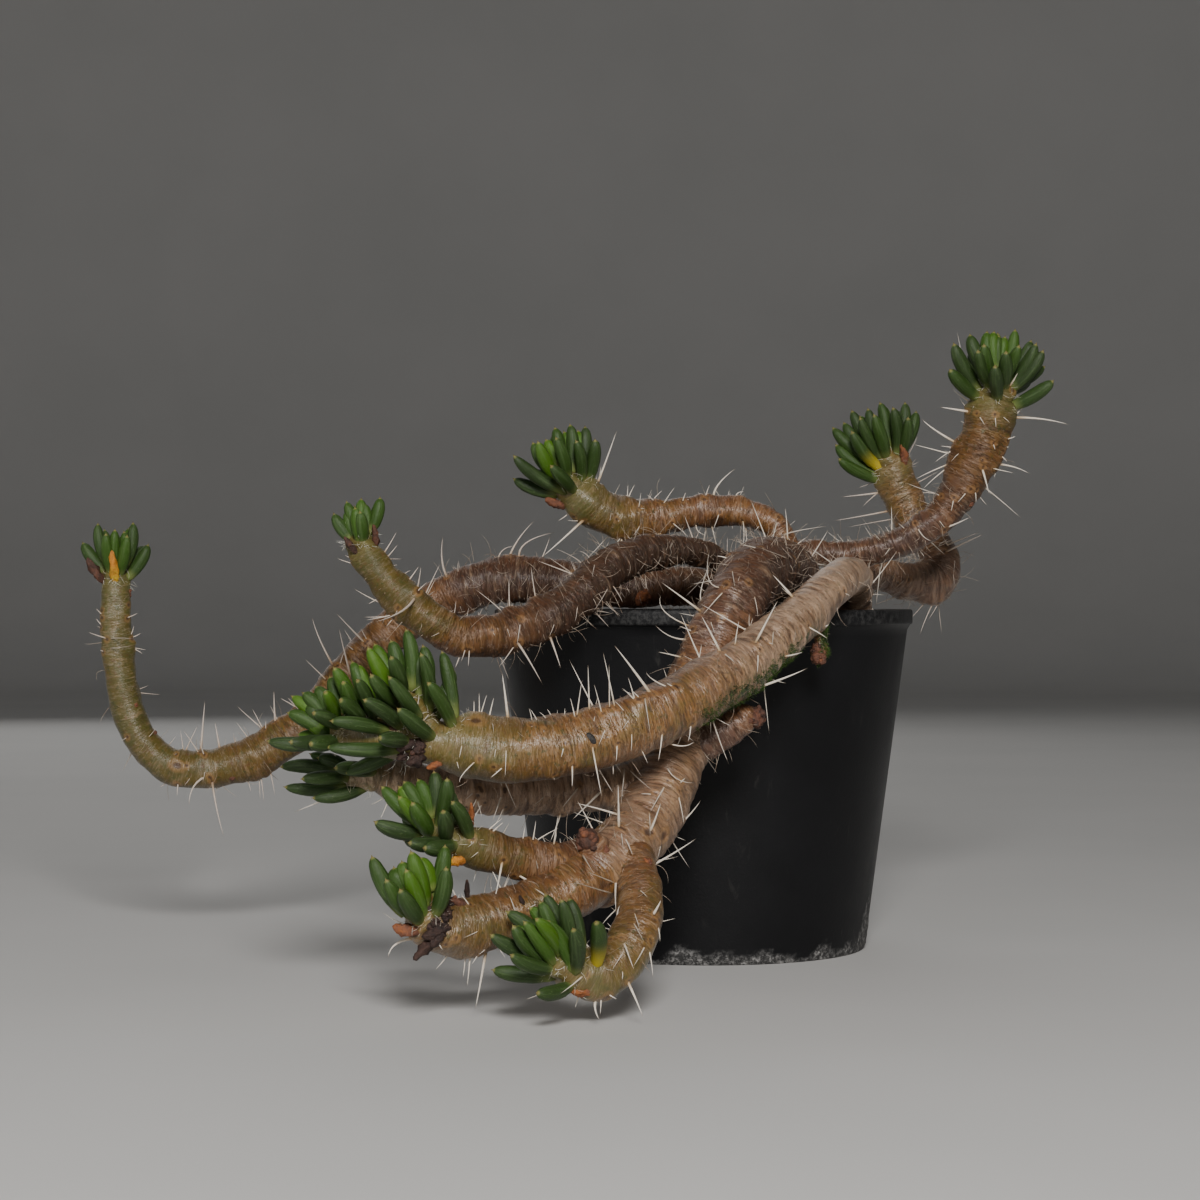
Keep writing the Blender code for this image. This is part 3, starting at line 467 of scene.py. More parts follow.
# Spines seen in the photograph, by limb and by thickness: the x and y of two or three pixels from the root to
# the tip.
SEEN_SPINES = {
    "front": {
        "thick": [
            (508, 717, 502, 672), (641, 700, 614, 645), (740, 654, 778, 600), (711, 658, 701, 615),
            (757, 690, 808, 668), (787, 602, 772, 574),
        ],
        "middling": [
            (479, 713, 479, 692), (479, 712, 487, 694), (488, 713, 494, 697), (571, 718, 570, 697),
            (572, 717, 582, 680), (585, 712, 588, 664), (595, 716, 594, 684), (607, 712, 603, 652),
            (602, 712, 609, 664), (626, 705, 628, 677), (628, 706, 622, 688), (633, 705, 631, 690),
            (661, 694, 655, 681, 646, 672), (664, 695, 666, 683), (795, 636, 828, 639),
            (777, 664, 803, 652), (725, 650, 739, 620), (826, 632, 829, 624),
            (479, 757, 463, 774, 460, 783), (503, 764, 490, 778), (651, 735, 658, 762),
            (636, 695, 650, 732), (583, 743, 597, 772, 602, 798), (566, 764, 572, 788),
            (548, 710, 558, 735), (558, 742, 561, 758), (608, 745, 616, 762), (682, 728, 688, 742),
            (668, 746, 683, 746, 695, 741), (690, 662, 699, 675), (713, 656, 735, 663),
            (743, 660, 757, 674), (474, 712, 474, 700), (420, 691, 408, 670), (416, 703, 419, 694),
            (394, 698, 399, 706), (430, 712, 424, 720),
        ],
        "fine": [
            (461, 708, 462, 738), (461, 742, 459, 759), (491, 720, 494, 734), (494, 745, 494, 758),
            (503, 745, 505, 778), (531, 720, 529, 708), (535, 720, 530, 709), (616, 715, 614, 700),
            (619, 720, 622, 730), (621, 735, 631, 752), (597, 728, 598, 747), (637, 752, 648, 764),
            (612, 765, 613, 775), (562, 716, 565, 708), (586, 722, 595, 716), (552, 716, 547, 709),
            (545, 718, 539, 712), (698, 735, 690, 722), (760, 640, 772, 646), (455, 760, 459, 769),
        ],
    },
    "left": {
        "thick": [(511, 643, 527, 657, 543, 685), (547, 638, 561, 669), (417, 594, 402, 611, 375, 622)],
        "middling": [
            (512, 643, 498, 668), (534, 598, 531, 566), (533, 575, 545, 595), (534, 598, 516, 618),
            (503, 592, 509, 577), (503, 592, 499, 606), (505, 593, 512, 605, 513, 618),
            (514, 622, 517, 645), (463, 647, 461, 662), (465, 648, 468, 667), (458, 655, 455, 668),
            (417, 590, 421, 566), (415, 592, 427, 582), (412, 577, 419, 566), (388, 549, 397, 531),
            (388, 555, 398, 544), (395, 614, 365, 620), (383, 612, 353, 588), (355, 565, 337, 558),
            (377, 598, 368, 604), (350, 558, 345, 555), (391, 618, 386, 627), (384, 629, 363, 617),
        ],
        "fine": [
            (534, 598, 541, 615), (546, 620, 549, 637), (568, 610, 575, 622), (604, 592, 593, 612),
            (607, 592, 623, 603), (607, 605, 621, 617), (453, 614, 456, 600), (500, 628, 510, 638),
            (587, 570, 592, 578), (655, 592, 646, 588, 640, 580), (440, 628, 430, 637),
        ],
    },
    "far_left": {
        "thick": [
            (333, 667, 320, 640, 312, 617), (348, 676, 344, 650, 339, 628), (366, 645, 336, 613),
            (213, 779, 217, 810, 224, 837), (448, 577, 442, 560, 443, 536), (275, 724, 274, 690),
            (199, 746, 205, 700), (218, 746, 215, 722), (520, 558, 526, 543, 556, 532),
            (509, 558, 518, 540, 535, 520), (210, 775, 194, 786, 189, 806),
        ],
        "middling": [
            (339, 667, 346, 648), (354, 652, 346, 644), (327, 680, 305, 659), (368, 643, 360, 627),
            (278, 722, 270, 705), (263, 730, 252, 708), (265, 731, 266, 720), (297, 708, 280, 698),
            (302, 712, 287, 697), (247, 737, 236, 722), (185, 748, 198, 725), (184, 745, 180, 729),
            (200, 754, 183, 730), (204, 756, 199, 740), (178, 782, 177, 796), (260, 780, 260, 800),
            (263, 780, 264, 802), (274, 780, 275, 796), (249, 783, 251, 792), (166, 783, 160, 787),
            (110, 637, 88, 632), (106, 617, 96, 608), (104, 627, 96, 618), (106, 650, 100, 650),
            (128, 618, 138, 613), (131, 638, 134, 625), (133, 637, 141, 633), (133, 646, 146, 650),
            (134, 647, 143, 654), (497, 558, 503, 550, 515, 546), (586, 568, 575, 558, 553, 548),
            (575, 574, 560, 565, 545, 555), (594, 563, 587, 555, 578, 551), (467, 612, 468, 590, 467, 573),
        ],
        "fine": [
            (107, 638, 120, 638, 133, 639), (108, 648, 132, 646), (125, 560, 124, 552),
            (459, 572, 458, 562), (206, 768, 203, 782), (170, 742, 176, 736), (235, 742, 234, 736),
            (192, 776, 184, 786), (150, 735, 156, 728),
        ],
    },
    "upper": {
        "thick": [
            (600, 478, 617, 430), (580, 517, 541, 558), (657, 534, 678, 574), (620, 537, 620, 565),
            (715, 495, 718, 485, 736, 468),
        ],
        "middling": [
            (601, 480, 601, 465), (567, 513, 558, 521), (629, 495, 628, 484), (630, 494, 635, 484),
            (634, 508, 641, 492), (655, 504, 646, 494), (652, 500, 663, 490), (660, 505, 675, 487),
            (680, 502, 686, 492), (705, 498, 710, 484), (704, 498, 697, 492),
            (735, 497, 738, 493, 745, 492), (667, 524, 686, 534), (656, 533, 652, 551),
            (620, 538, 616, 556), (718, 512, 713, 530), (695, 525, 698, 531, 706, 535),
            (712, 532, 718, 550), (743, 520, 744, 535, 742, 548), (744, 530, 748, 553),
            (779, 520, 771, 545), (782, 538, 797, 531, 828, 526), (620, 536, 614, 546),
        ],
        "fine": [
            (634, 525, 633, 536), (606, 522, 611, 512), (601, 482, 605, 489), (634, 508, 645, 509),
            (594, 482, 597, 475), (580, 518, 566, 520), (638, 536, 630, 538), (682, 500, 690, 500),
        ],
    },
    "right_tall": {
        "thick": [
            (1017, 418, 1042, 419, 1070, 425), (952, 443, 935, 430, 922, 419), (969, 412, 940, 407),
            (979, 468, 989, 494), (997, 465, 1014, 467, 1030, 474), (943, 530, 970, 517),
        ],
        "middling": [
            (955, 447, 934, 463), (953, 447, 940, 446), (943, 462, 914, 480), (945, 465, 922, 490),
            (1015, 417, 1028, 402), (992, 416, 996, 428), (968, 411, 987, 416), (975, 415, 985, 425),
            (966, 410, 959, 397), (967, 395, 951, 388), (1005, 440, 1016, 436), (1000, 455, 1007, 462),
            (967, 490, 957, 503), (973, 490, 976, 503), (952, 498, 951, 512),
            (916, 523, 923, 536, 932, 541), (990, 445, 995, 450), (1003, 448, 1009, 447),
            (996, 466, 994, 478), (965, 347, 957, 331), (1010, 378, 1030, 350), (990, 469, 1014, 473),
        ],
        "fine": [
            (880, 540, 873, 533), (890, 548, 884, 556), (1000, 417, 1010, 423), (1015, 418, 1008, 423),
            (905, 528, 898, 523), (938, 520, 945, 528), (958, 452, 951, 462),
        ],
    },
    "right_back": {
        "thick": [(880, 515, 833, 521), (873, 495, 841, 497), (943, 561, 984, 534), (945, 552, 980, 532)],
        "middling": [
            (930, 601, 926, 618, 920, 635), (922, 602, 907, 622), (938, 600, 928, 620),
            (880, 590, 858, 602), (870, 480, 858, 488), (872, 492, 862, 507), (922, 491, 935, 492),
            (905, 455, 918, 435), (935, 555, 950, 538), (938, 553, 955, 540), (955, 560, 953, 575),
            (895, 598, 870, 606), (924, 480, 940, 470), (924, 485, 927, 500),
        ],
        "fine": [(900, 575, 893, 590), (925, 566, 936, 562), (880, 575, 872, 590), (948, 580, 954, 588)],
    },
    "main": {
        "thick": [
            (698, 618, 661, 582), (633, 847, 661, 802), (605, 843, 618, 783), (648, 874, 697, 838),
            (613, 826, 575, 803),
        ],
        "middling": [
            (690, 628, 665, 612, 661, 595), (687, 642, 672, 637, 655, 625), (692, 636, 679, 626),
            (680, 660, 668, 654, 658, 652), (718, 602, 702, 616), (723, 565, 716, 556),
            (766, 562, 782, 548), (762, 562, 760, 548), (735, 600, 737, 590, 741, 573),
            (718, 600, 709, 580, 710, 548), (699, 601, 701, 590, 711, 560), (799, 582, 797, 560, 785, 548),
            (768, 600, 774, 592, 773, 580), (742, 568, 741, 545), (747, 640, 735, 636),
            (687, 828, 701, 800), (608, 846, 633, 856), (643, 812, 640, 794),
            (658, 765, 672, 775, 695, 783), (660, 802, 650, 812), (672, 800, 685, 778),
            (670, 808, 684, 825), (600, 892, 588, 872), (592, 897, 575, 882), (772, 542, 785, 507),
            (607, 839, 623, 848), (601, 795, 629, 826), (571, 866, 594, 874),
        ],
        "fine": [
            (700, 690, 712, 698), (722, 583, 735, 588), (745, 610, 758, 618), (705, 628, 715, 634),
            (664, 690, 676, 696), (640, 830, 650, 838), (612, 868, 622, 874), (650, 850, 657, 860),
            (664, 870, 679, 856),
        ],
    },
    "behind_front": {
        "thick": [(322, 787, 294, 812), (600, 788, 572, 820)],
        "middling": [
            (472, 786, 465, 800), (474, 788, 469, 815), (478, 800, 472, 820), (497, 788, 492, 822),
            (500, 805, 495, 825), (575, 785, 562, 808), (623, 765, 621, 805),
            (624, 766, 640, 780, 652, 790), (470, 795, 482, 818), (497, 790, 504, 796),
            (401, 752, 388, 763), (357, 757, 348, 767), (388, 808, 380, 820), (384, 798, 370, 805),
            (560, 812, 550, 842),
        ],
        "fine": [(401, 768, 401, 776), (385, 779, 386, 787), (540, 795, 533, 806), (520, 792, 526, 802)],
    },
    "lower_middle": {
        "thick": [(497, 858, 494, 902), (511, 873, 551, 892)],
        "middling": [
            (487, 828, 503, 818), (489, 832, 504, 822), (531, 842, 536, 820), (533, 840, 559, 828),
            (523, 838, 525, 826), (550, 845, 558, 815), (531, 875, 567, 884), (552, 860, 559, 890),
            (533, 872, 536, 860),
        ],
        "fine": [(494, 872, 492, 858), (466, 872, 465, 862), (570, 858, 592, 864), (475, 850, 470, 858)],
    },
    "lower_left": {
        "thick": [
            (413, 936, 396, 944, 388, 958), (492, 968, 475, 1010), (444, 932, 440, 941, 444, 951),
            (474, 896, 493, 903, 512, 912),
        ],
        "middling": [
            (517, 914, 536, 904), (506, 912, 509, 895), (538, 903, 534, 888), (462, 905, 461, 895),
            (478, 950, 471, 965), (472, 955, 467, 987), (466, 962, 463, 978), (449, 957, 435, 970),
            (437, 938, 418, 951), (405, 920, 382, 912), (556, 912, 541, 897), (455, 898, 450, 885),
        ],
        "fine": [(484, 945, 478, 955), (500, 955, 506, 958), (470, 930, 463, 938), (430, 925, 436, 915)],
    },
    "lower_loop": {
        "thick": [
            (650, 928, 661, 900), (616, 876, 616, 912), (622, 983, 643, 1017),
            (591, 995, 594, 1015, 601, 1033), (616, 946, 634, 970),
        ],
        "middling": [
            (596, 903, 601, 926), (645, 950, 653, 978), (645, 948, 633, 967), (655, 930, 660, 942),
            (597, 995, 600, 1015), (600, 993, 617, 999), (575, 973, 560, 994), (540, 993, 524, 1000),
            (602, 928, 612, 942), (608, 918, 620, 905), (573, 1000, 575, 1008),
        ],
        "fine": [
            (625, 900, 632, 890), (630, 925, 640, 930), (636, 935, 644, 942), (618, 960, 612, 970),
            (640, 905, 648, 898), (612, 972, 622, 980),
        ],
    },
}
THICKNESSES = {"thick": 0.3 * MM, "middling": 0.18 * MM, "fine": 0.115 * MM}
THICKNESS_JITTER = (0.85, 1.15)

# The looks of spines: the name, and the share by which they are dimmed.
SPINE_LOOKS = {"bright": ("spine", 0.08), "dim": ("dim_spine", 0.45)}

# Leaves seen in the photograph, by head: the x and y of the root's and of the tip's pixel, whether it leans
# towards the camera (-1) or along the picture (0), and how young it is.
SEEN_LEAVES = {
    "leaves_front": [
        (451, 706, 442, 652, 0, 0.4), (449, 723, 428, 683, -1, 0.4), (438, 705, 421, 654, -1, 0.35),
        (436, 692, 423, 646, 0, 0.2), (412, 690, 406, 630, 0, 0.4), (398, 690, 391, 641, 0, 0.55),
        (380, 690, 368, 648, -1, 0.9), (362, 692, 352, 662, 0, 0.7), (366, 690, 358, 665, 0, 0.8),
        (350, 706, 334, 668, -1, 0.75), (404, 695, 391, 657, -1, 0.45), (422, 695, 411, 648, 0, 0.4),
        (386, 706, 371, 675, -1, 0.25), (368, 704, 357, 680, -1, 0.3), (420, 716, 389, 677, -1, 0.2),
        (402, 725, 364, 700, -1, 0.2), (436, 737, 398, 709, -1, 0.25), (362, 717, 340, 700, -1, 0.3),
        (340, 714, 330, 677, 0, 0.6), (327, 702, 316, 687, 0, 0.5), (333, 714, 325, 692, -1, 0.7),
        (320, 714, 303, 693, 0, 0.45), (324, 718, 305, 707, 0, 0.4), (342, 723, 313, 713, -1, 0.25),
        (390, 728, 331, 721, -1, 0.1), (306, 738, 288, 713, 0, 0.7), (312, 742, 306, 720, 0, 0.8),
        (332, 740, 320, 726, 0, 0.75), (310, 756, 268, 741, 0, 0.15), (322, 758, 290, 742, -1, 0.15),
        (328, 756, 310, 744, -1, 0.3), (402, 749, 327, 747, -1, 0.1), (406, 740, 379, 738, -1, 0.2),
        (350, 715, 343, 682, -1, 0.7), (376, 722, 362, 690, 0, 0.5), (396, 705, 384, 662, 0, 0.6),
    ],
    "leaves_behind_front": [
        (334, 764, 281, 767, 0, 0.1), (372, 770, 335, 768, -1, 0.3), (345, 776, 302, 779, -1, 0.1),
        (352, 787, 285, 787, 0, 0.1), (364, 794, 313, 798, -1, 0.15), (350, 770, 318, 758, 0, 0.2),
    ],
    "leaves_lower_middle": [
        (420, 841, 375, 822, -1, 0.1), (410, 825, 382, 787, 0, 0.5), (410, 812, 399, 787, 0, 0.9),
        (413, 825, 399, 797, -1, 0.9), (420, 820, 408, 793, 0, 0.95), (426, 838, 412, 803, -1, 0.8),
        (431, 820, 418, 780, 0, 0.6), (438, 824, 447, 779, -1, 0.25), (466, 834, 452, 802, -1, 0.15),
        (442, 840, 443, 811, -1, 0.15), (437, 805, 434, 772, 0, 0.1), (442, 840, 409, 843, -1, 0.1),
        (452, 844, 424, 848, -1, 0.1), (424, 822, 404, 782, 0, 0.5),
    ],
    "leaves_lower_left": [
        (404, 915, 372, 857, 0, 0.45), (404, 892, 394, 868, 0, 0.75), (425, 900, 411, 852, -1, 0.95),
        (420, 912, 406, 870, -1, 0.95), (418, 916, 400, 890, -1, 0.3), (430, 906, 445, 846, 0, 0.6),
        (433, 908, 446, 868, -1, 0.45), (430, 892, 420, 858, 0, 0.9), (414, 892, 402, 862, 0, 0.8),
        (408, 912, 386, 880, -1, 0.5),
    ],
    "leaves_lower_loop": [
        (532, 932, 507, 912, 0, 0.1), (530, 956, 491, 935, -1, 0.1), (528, 956, 513, 926, -1, 0.5),
        (556, 928, 530, 908, 0, 0.8), (547, 960, 524, 922, -1, 0.95), (554, 950, 536, 919, -1, 0.95),
        (568, 966, 547, 921, -1, 0.85), (558, 932, 545, 895, 0, 0.1), (566, 958, 561, 900, -1, 0.25),
        (580, 938, 569, 899, 0, 0.15), (570, 966, 573, 929, -1, 0.1), (587, 960, 596, 922, -1, 0.4),
        (550, 971, 511, 955, -1, 0.2), (547, 979, 493, 970, 0, 0.1), (564, 983, 537, 993, -1, 0.2),
        (556, 948, 540, 902, 0, 0.5),
    ],
    "leaves_upper": [
        (571, 476, 570, 425, 0, 0.25), (560, 470, 555, 428, 0, 0.45), (583, 468, 585, 427, 0, 0.2),
        (588, 474, 595, 440, -1, 0.3), (580, 476, 576, 441, -1, 0.25), (546, 476, 533, 443, 0, 0.6),
        (550, 478, 538, 442, -1, 0.8), (558, 466, 546, 440, 0, 0.95), (566, 476, 556, 438, -1, 0.5),
        (563, 488, 514, 456, -1, 0.15), (555, 496, 514, 479, 0, 0.1), (572, 490, 551, 466, -1, 0.25),
        (580, 452, 578, 431, 0, 0.9), (568, 456, 564, 432, 0, 0.8),
    ],
    "leaves_right_tall": [
        (975, 394, 950, 370, -1, 0.3), (980, 382, 954, 344, -1, 0.1), (986, 374, 970, 335, 0, 0.15),
        (988, 384, 978, 351, -1, 0.25), (993, 372, 987, 332, 0, 0.7), (997, 370, 994, 332, 0, 0.9),
        (998, 362, 999, 336, 0, 0.7), (1002, 372, 1005, 337, 0, 0.9), (1006, 386, 1006, 352, -1, 0.2),
        (994, 397, 995, 366, -1, 0.15), (1009, 372, 1015, 330, 0, 0.7), (1012, 378, 1031, 341, 0, 0.2),
        (1017, 378, 1036, 344, -1, 0.2), (1014, 386, 1043, 351, -1, 0.1), (1021, 398, 1053, 381, -1, 0.15),
        (1002, 380, 1019, 346, -1, 0.4), (992, 380, 984, 345, -1, 0.4),
    ],
    "leaves_right_back": [
        (873, 464, 833, 428, 0, 0.25), (870, 448, 852, 411, 0, 0.2), (880, 452, 868, 409, 0, 0.3),
        (888, 452, 880, 403, 0, 0.3), (901, 444, 905, 403, 0, 0.25), (906, 446, 916, 412, 0, 0.2),
        (866, 458, 844, 423, 0, 0.3), (869, 479, 836, 445, 0, 0.4), (873, 483, 839, 459, -1, 0.5),
        (895, 452, 893, 408, -1, 0.3), (877, 456, 860, 418, -1, 0.3), (876, 466, 852, 432, -1, 0.35),
        (885, 455, 874, 415, -1, 0.35), (900, 452, 908, 418, -1, 0.2),
    ],
    "leaves_far_left": [
        (108, 574, 83, 543, 0, 0.3), (109, 568, 98, 524, 0, 0.3), (116, 572, 115, 530, -1, 0.7),
        (122, 566, 124, 532, 0, 0.8), (126, 566, 133, 523, 0, 0.3), (130, 578, 148, 545, 0, 0.3),
        (112, 572, 106, 534, -1, 0.6), (122, 574, 127, 536, -1, 0.6),
    ],
    "leaves_left": [
        (353, 541, 334, 514, 0, 0.5), (357, 541, 347, 511, 0, 0.6), (360, 541, 355, 508, -1, 0.7),
        (366, 538, 364, 504, 0, 0.6), (373, 530, 380, 498, 0, 0.4), (364, 542, 360, 512, -1, 0.7),
    ],
}

# The leaf of a head whose foot has turned yellow, by its place in the list.
YELLOW_LEAVES = {"leaves_lower_loop": 11, "leaves_right_back": 11}

# Dried leaves seen in the photograph, by limb: the x and y of the root's and of the tip's pixel, the radius
# in millimetres and the tones of the root and the tip, where 0 is dark purple-brown, half is orange-brown and
# 1 is yellow.
SEEN_DRIED = {
    "far_left": [(119, 583, 111, 549, 0.85, 0.95, 0.68), (103, 581, 87, 557, 0.9, 0.26, 0.2)],
    "left": [(381, 541, 373, 524, 0.6, 0.2, 0.3), (356, 554, 344, 536, 0.6, 0.16, 0.22)],
    "upper": [(562, 507, 545, 498, 0.9, 0.3, 0.42)],
    "right_back": [(906, 464, 901, 441, 0.85, 0.38, 0.46)],
    "front": [
        (437, 763, 426, 768, 0.62, 0.4, 0.5), (424, 756, 406, 764, 1, 0.05, 0.12),
        (418, 740, 396, 750, 0.9, 0.04, 0.1), (398, 730, 388, 727, 0.5, 0.2, 0.22),
        (408, 752, 396, 760, 0.7, 0.06, 0.14),
    ],
    "lower_middle": [(462, 858, 447, 861, 0.85, 0.62, 0.85), (468, 818, 471, 802, 0.42, 0.42, 0.55)],
    "lower_left": [
        (417, 926, 392, 926, 1, 0.3, 0.48), (448, 905, 430, 922, 1, 0.04, 0.08),
        (428, 930, 413, 960, 0.85, 0.1, 0.16), (464, 896, 467, 879, 0.42, 0.05, 0.08),
        (517, 914, 519, 895, 0.4, 0.02, 0.05), (424, 922, 436, 936, 0.8, 0.18, 0.2),
        (462, 904, 450, 900, 0.7, 0.24, 0.3), (444, 914, 424, 908, 0.9, 0.06, 0.1),
        (438, 900, 420, 914, 0.8, 0.03, 0.1), (452, 902, 431, 906, 1.2, 0.02, 0.07),
        (442, 922, 421, 937, 1.1, 0.03, 0.1), (455, 895, 441, 905, 1.1, 0.1, 0.05),
        (436, 922, 430, 948, 0.9, 0.03, 0.08),
    ],
    "lower_loop": [(586, 990, 569, 990, 0.85, 0.4, 0.55)],
}

# Lumps seen in the photograph, such as buds: the limb, the pixel of the middle, the size in millimetres and
# the tone.
SEEN_LUMPS = (
    ("dry_bud_main", (586, 839), 2.4, 0.32), ("dry_bud_main", (599, 846), 2.1, 0.28),
    ("dry_bud_main", (590, 851), 1.9, 0.31), ("stub", (758, 706), 2.1, 0.3),
    ("stub", (762, 717), 1.9, 0.26), ("dry_bud_front", (818, 657), 1.8, 0.34),
    ("dry_bud_front", (815, 647), 1.3, 0.22), ("far_left", (640, 599), 2.6, 0.4),
    ("far_left", (132, 589), 0.7, 0.38), ("far_left", (131, 597), 0.6, 0.36),
    ("far_left", (155, 731), 0.7, 0.38), ("far_left", (138, 703), 0.55, 0.36),
    ("far_left", (233, 778), 0.75, 0.36), ("lower_loop", (652, 872), 1, 0.4),
    ("right_tall", (969, 505), 0.8, 0.36), ("lower_left", (441, 904), 2, 0.12),
    ("lower_left", (432, 917), 1.8, 0.1), ("lower_left", (452, 892), 1.3, 0.3),
    ("front", (417, 747), 1.8, 0.14), ("front", (403, 751), 1.5, 0.1),
)
LUMP_BUMPS = 30
LUMP_STEPS = 8
LUMP_SIDES = 10
LUMP_SINK = 0.4
LUMP_BODY = 0.85
LUMP_REACHES = (0.6, 0.85)
LUMP_SIZES = (0.14, 0.36)
LUMP_TONES = (-0.12, 0.08)
LUMP_UNEVENNESS = 0.4
LUMP_NOISE = (0.6, 1.8)
TUBE_OFFSETS = (0, 100)
BALL_END = 0.02

# The dark seed on the front stem, by pixels of its two ends, and the scars of fallen branches, by limb.
SEED_ENDS = ((577, 734), (588, 746))
SEED_RADIUS = 0.75 * MM
SEED_STEPS = 10
SEED_SIDES = 14
SEED_LOOK = ("seed", 2500, 0.45, (0.3, (0.012, 0.012, 0.014)), (0.7, (0.06, 0.055, 0.05)))
SCARS = {
    "front": [(475, 721)],
    "main": [(678, 678), (650, 848), (668, 848), (631, 848)],
    "far_left": [(178, 764)],
}
SCAR_WIDTH = 1 * MM
SCAR_HEIGHT = 0.3 * MM
SCAR_STRETCH = 1.6
SCAR_RING = 1.1
SCAR_RING_WIDTH = 0.35

# Moss under the front stem.
MOSS_X = (-6 * MM, 19 * MM)
MOSS_SIDE = Vector((0.61, 0, -0.79))
MOSS_FADE = 4 * MM
MOSS_START = 0.35
MOSS_SPAN = 0.35
BUD_MOSS_START = -0.5
BUD_MOSS_SPAN = 0.8
MOSSY_LIMBS = ("front", "dry_bud_front")
MOSS_TUFTS = 2600
MOSS_TRIES = 40
MOSS_CHANCES = (0.25, 1)
MOSS_LEAST = 0.7
MOSS_SCALE = 0.4
MOSS_LEAN = 0.9
MOSS_CURL = 0.5
MOSS_STEPS = 2
MOSS_RADIUS = 0.07 * MM
MOSS_LENGTHS = (0.3 * MM, 1.1 * MM)
MOSS_COLOURS = ((0.075, 0.14, 0.028), (0.030, 0.052, 0.016))

# Hairs and wool. A kind of hair has its range of lengths and its radius in millimetres, how far it leans to a
# side, how much it curls and its number of steps.
SHORT_HAIR = ((0.5, 1.4), 0.045, 0.8, 0.6, 2)
LONG_HAIR = ((2.5, 6.5), 0.055, 1.6, 1.8, 6)
HAIR_OUT = (0.5, 1)
HAIR_ALONG = (-0.5, 0.5)
HAIR_SINK = 0.1
HAIR_TAPER = 0.6
HAIR_SIDES = 3
FUZZ_AGE = 0.45
FUZZ_AGE_SPAN = 0.4
FUZZ_PER_RING = 2.6
LOOSE_PER_RING = 0.3
LONG_FUZZ_SHARE = 0.36
WOOL_START = 6 * MM
WOOL_PER_LEAF = 7
WOOL_LENGTHS = (1.0, 3.0)
WOOL_RADIUS = 0.05 * MM
WOOL_ALONG = (-0.9, 0.5)
WOOL_ROOT = 0.97
WOOL_SPREAD = 0.9
WOOL_LEAN = 0.8
WOOL_CURL = 2.0
WOOL_STEPS = 4
WOOL_COLOURS = ((0.86, 0.84, 0.76), (0.66, 0.60, 0.45))
FUZZ_COLOURS = ((0.62, 0.53, 0.43), (0.34, 0.24, 0.17))

# Stage.
STAGE_RADIUS = 1.7
STAGE_CURVE = 0.6
STAGE_HEIGHT = 2.6
STAGE_SEGMENTS = 96
STAGE_STEPS = 16
FLOOR_RADII = (0.3, 0.8)
LIGHT_AIM = Vector((-0.02, -0.03, 0.06))
LIGHTS = (
    ("key", (0.03, -0.95, 0.48), 0.26, 9.8, (1, 0.97, 0.94)),
    ("fill", (-0.7, -0.75, 0.12), 0.5, 1.2, (0.97, 0.98, 1)),
    ("rim", (-0.3, 0.85, 0.6), 1.1, 1.9, (1, 0.99, 0.97)),
)
WORLD_COLOUR = (0.95, 0.97, 1)
WORLD_STRENGTH = 0.055


class Station(NamedTuple):
    """A place along a stem: its centre, its frame, its radius and how far along it lies."""

    centre: Vector
    along: Vector
    side: Vector
    up: Vector
    radius: float
    distance: float


class Sphere(NamedTuple):
    """A ball of a piece's body, which other pieces keep clear of."""

    node: str
    centre: Vector
    radius: float


class Growth(NamedTuple):
    """A leaf or a spine: the line from its sunk root to its tip, its largest radius, where on its stem or
    core it grows, its direction out of it there, and its share of the way up its head."""

    line: list
    radius: float
    place: Station
    out: Vector
    share: float


class Skin(NamedTuple):
    """A stem's fine surface: its stations, the points of each ring, and their directions out of the stem."""

    stations: list
    rings: list
    outs: list


def blend(points, at):
    """The value at a place between (place, value) points, eased between them."""
    if at <= points[0][0]:
        return points[0][1]
    for (low, a), (high, b) in zip(points, points[1:]):
        if at <= high:
            share = (at - low) / (high - low)
            return a + (b - a) * share * share * (3 - 2 * share)
    return points[-1][1]


def ease(value):
    """A value from 0 to 1, clamped and eased at both ends."""
    value = min(max(value, 0), 1)
    return value * value * (3 - 2 * value)


def smooth_line(points, first_tangent, per_span):
    """A dense smooth line of (position, radius) through a route's points, upright where they are."""
    values = [Vector((x * MM, y * MM, z * MM, radius * MM)) for x, y, z, radius in points]
    last = len(values) - 1
    tangents = [(values[min(i + 1, last)] - values[max(i - 1, 0)]) / 2 for i in range(last + 1)]
    tangents[0] = values[1] - values[0]
    tangents[last] = values[last] - values[last - 1]
    for i in range(1, last):
        if values[i].to_2d() == values[i - 1].to_2d():
            tangents[i].x = tangents[i].y = 0
    if first_tangent is not None:
        tangents[0] = (first_tangent * tangents[0].to_3d().length).to_4d()
        tangents[0].w = values[1].w - values[0].w
    line = []
    for i in range(last):
        for step in range(per_span):
            t = step / per_span
            line.append(
                (2 * t**3 - 3 * t**2 + 1) * values[i]
                + (t**3 - 2 * t**2 + t) * tangents[i]
                + (3 * t**2 - 2 * t**3) * values[i + 1]
                + (t**3 - t**2) * tangents[i + 1]
            )
    line.append(values[last])
    return line


def stations_along(points, step, first_tangent=None, per_span=LINE_STEPS):
    """Evenly spaced stations along a route, each frame turned no more than the route bends."""
    line = smooth_line(points, first_tangent, per_span)
    lengths = [0.0]
    for a, b in zip(line, line[1:]):
        lengths.append(lengths[-1] + (b - a).to_3d().length)
    count = max(2, round(lengths[-1] / step))
    places = []
    span = 0
    for i in range(count + 1):
        wanted = lengths[-1] * i / count
        while span < len(line) - 2 and lengths[span + 1] < wanted:
            span += 1
        share = (wanted - lengths[span]) / (lengths[span + 1] - lengths[span])
        places.append((line[span].lerp(line[span + 1], share), wanted))
    return framed(places, first_tangent)


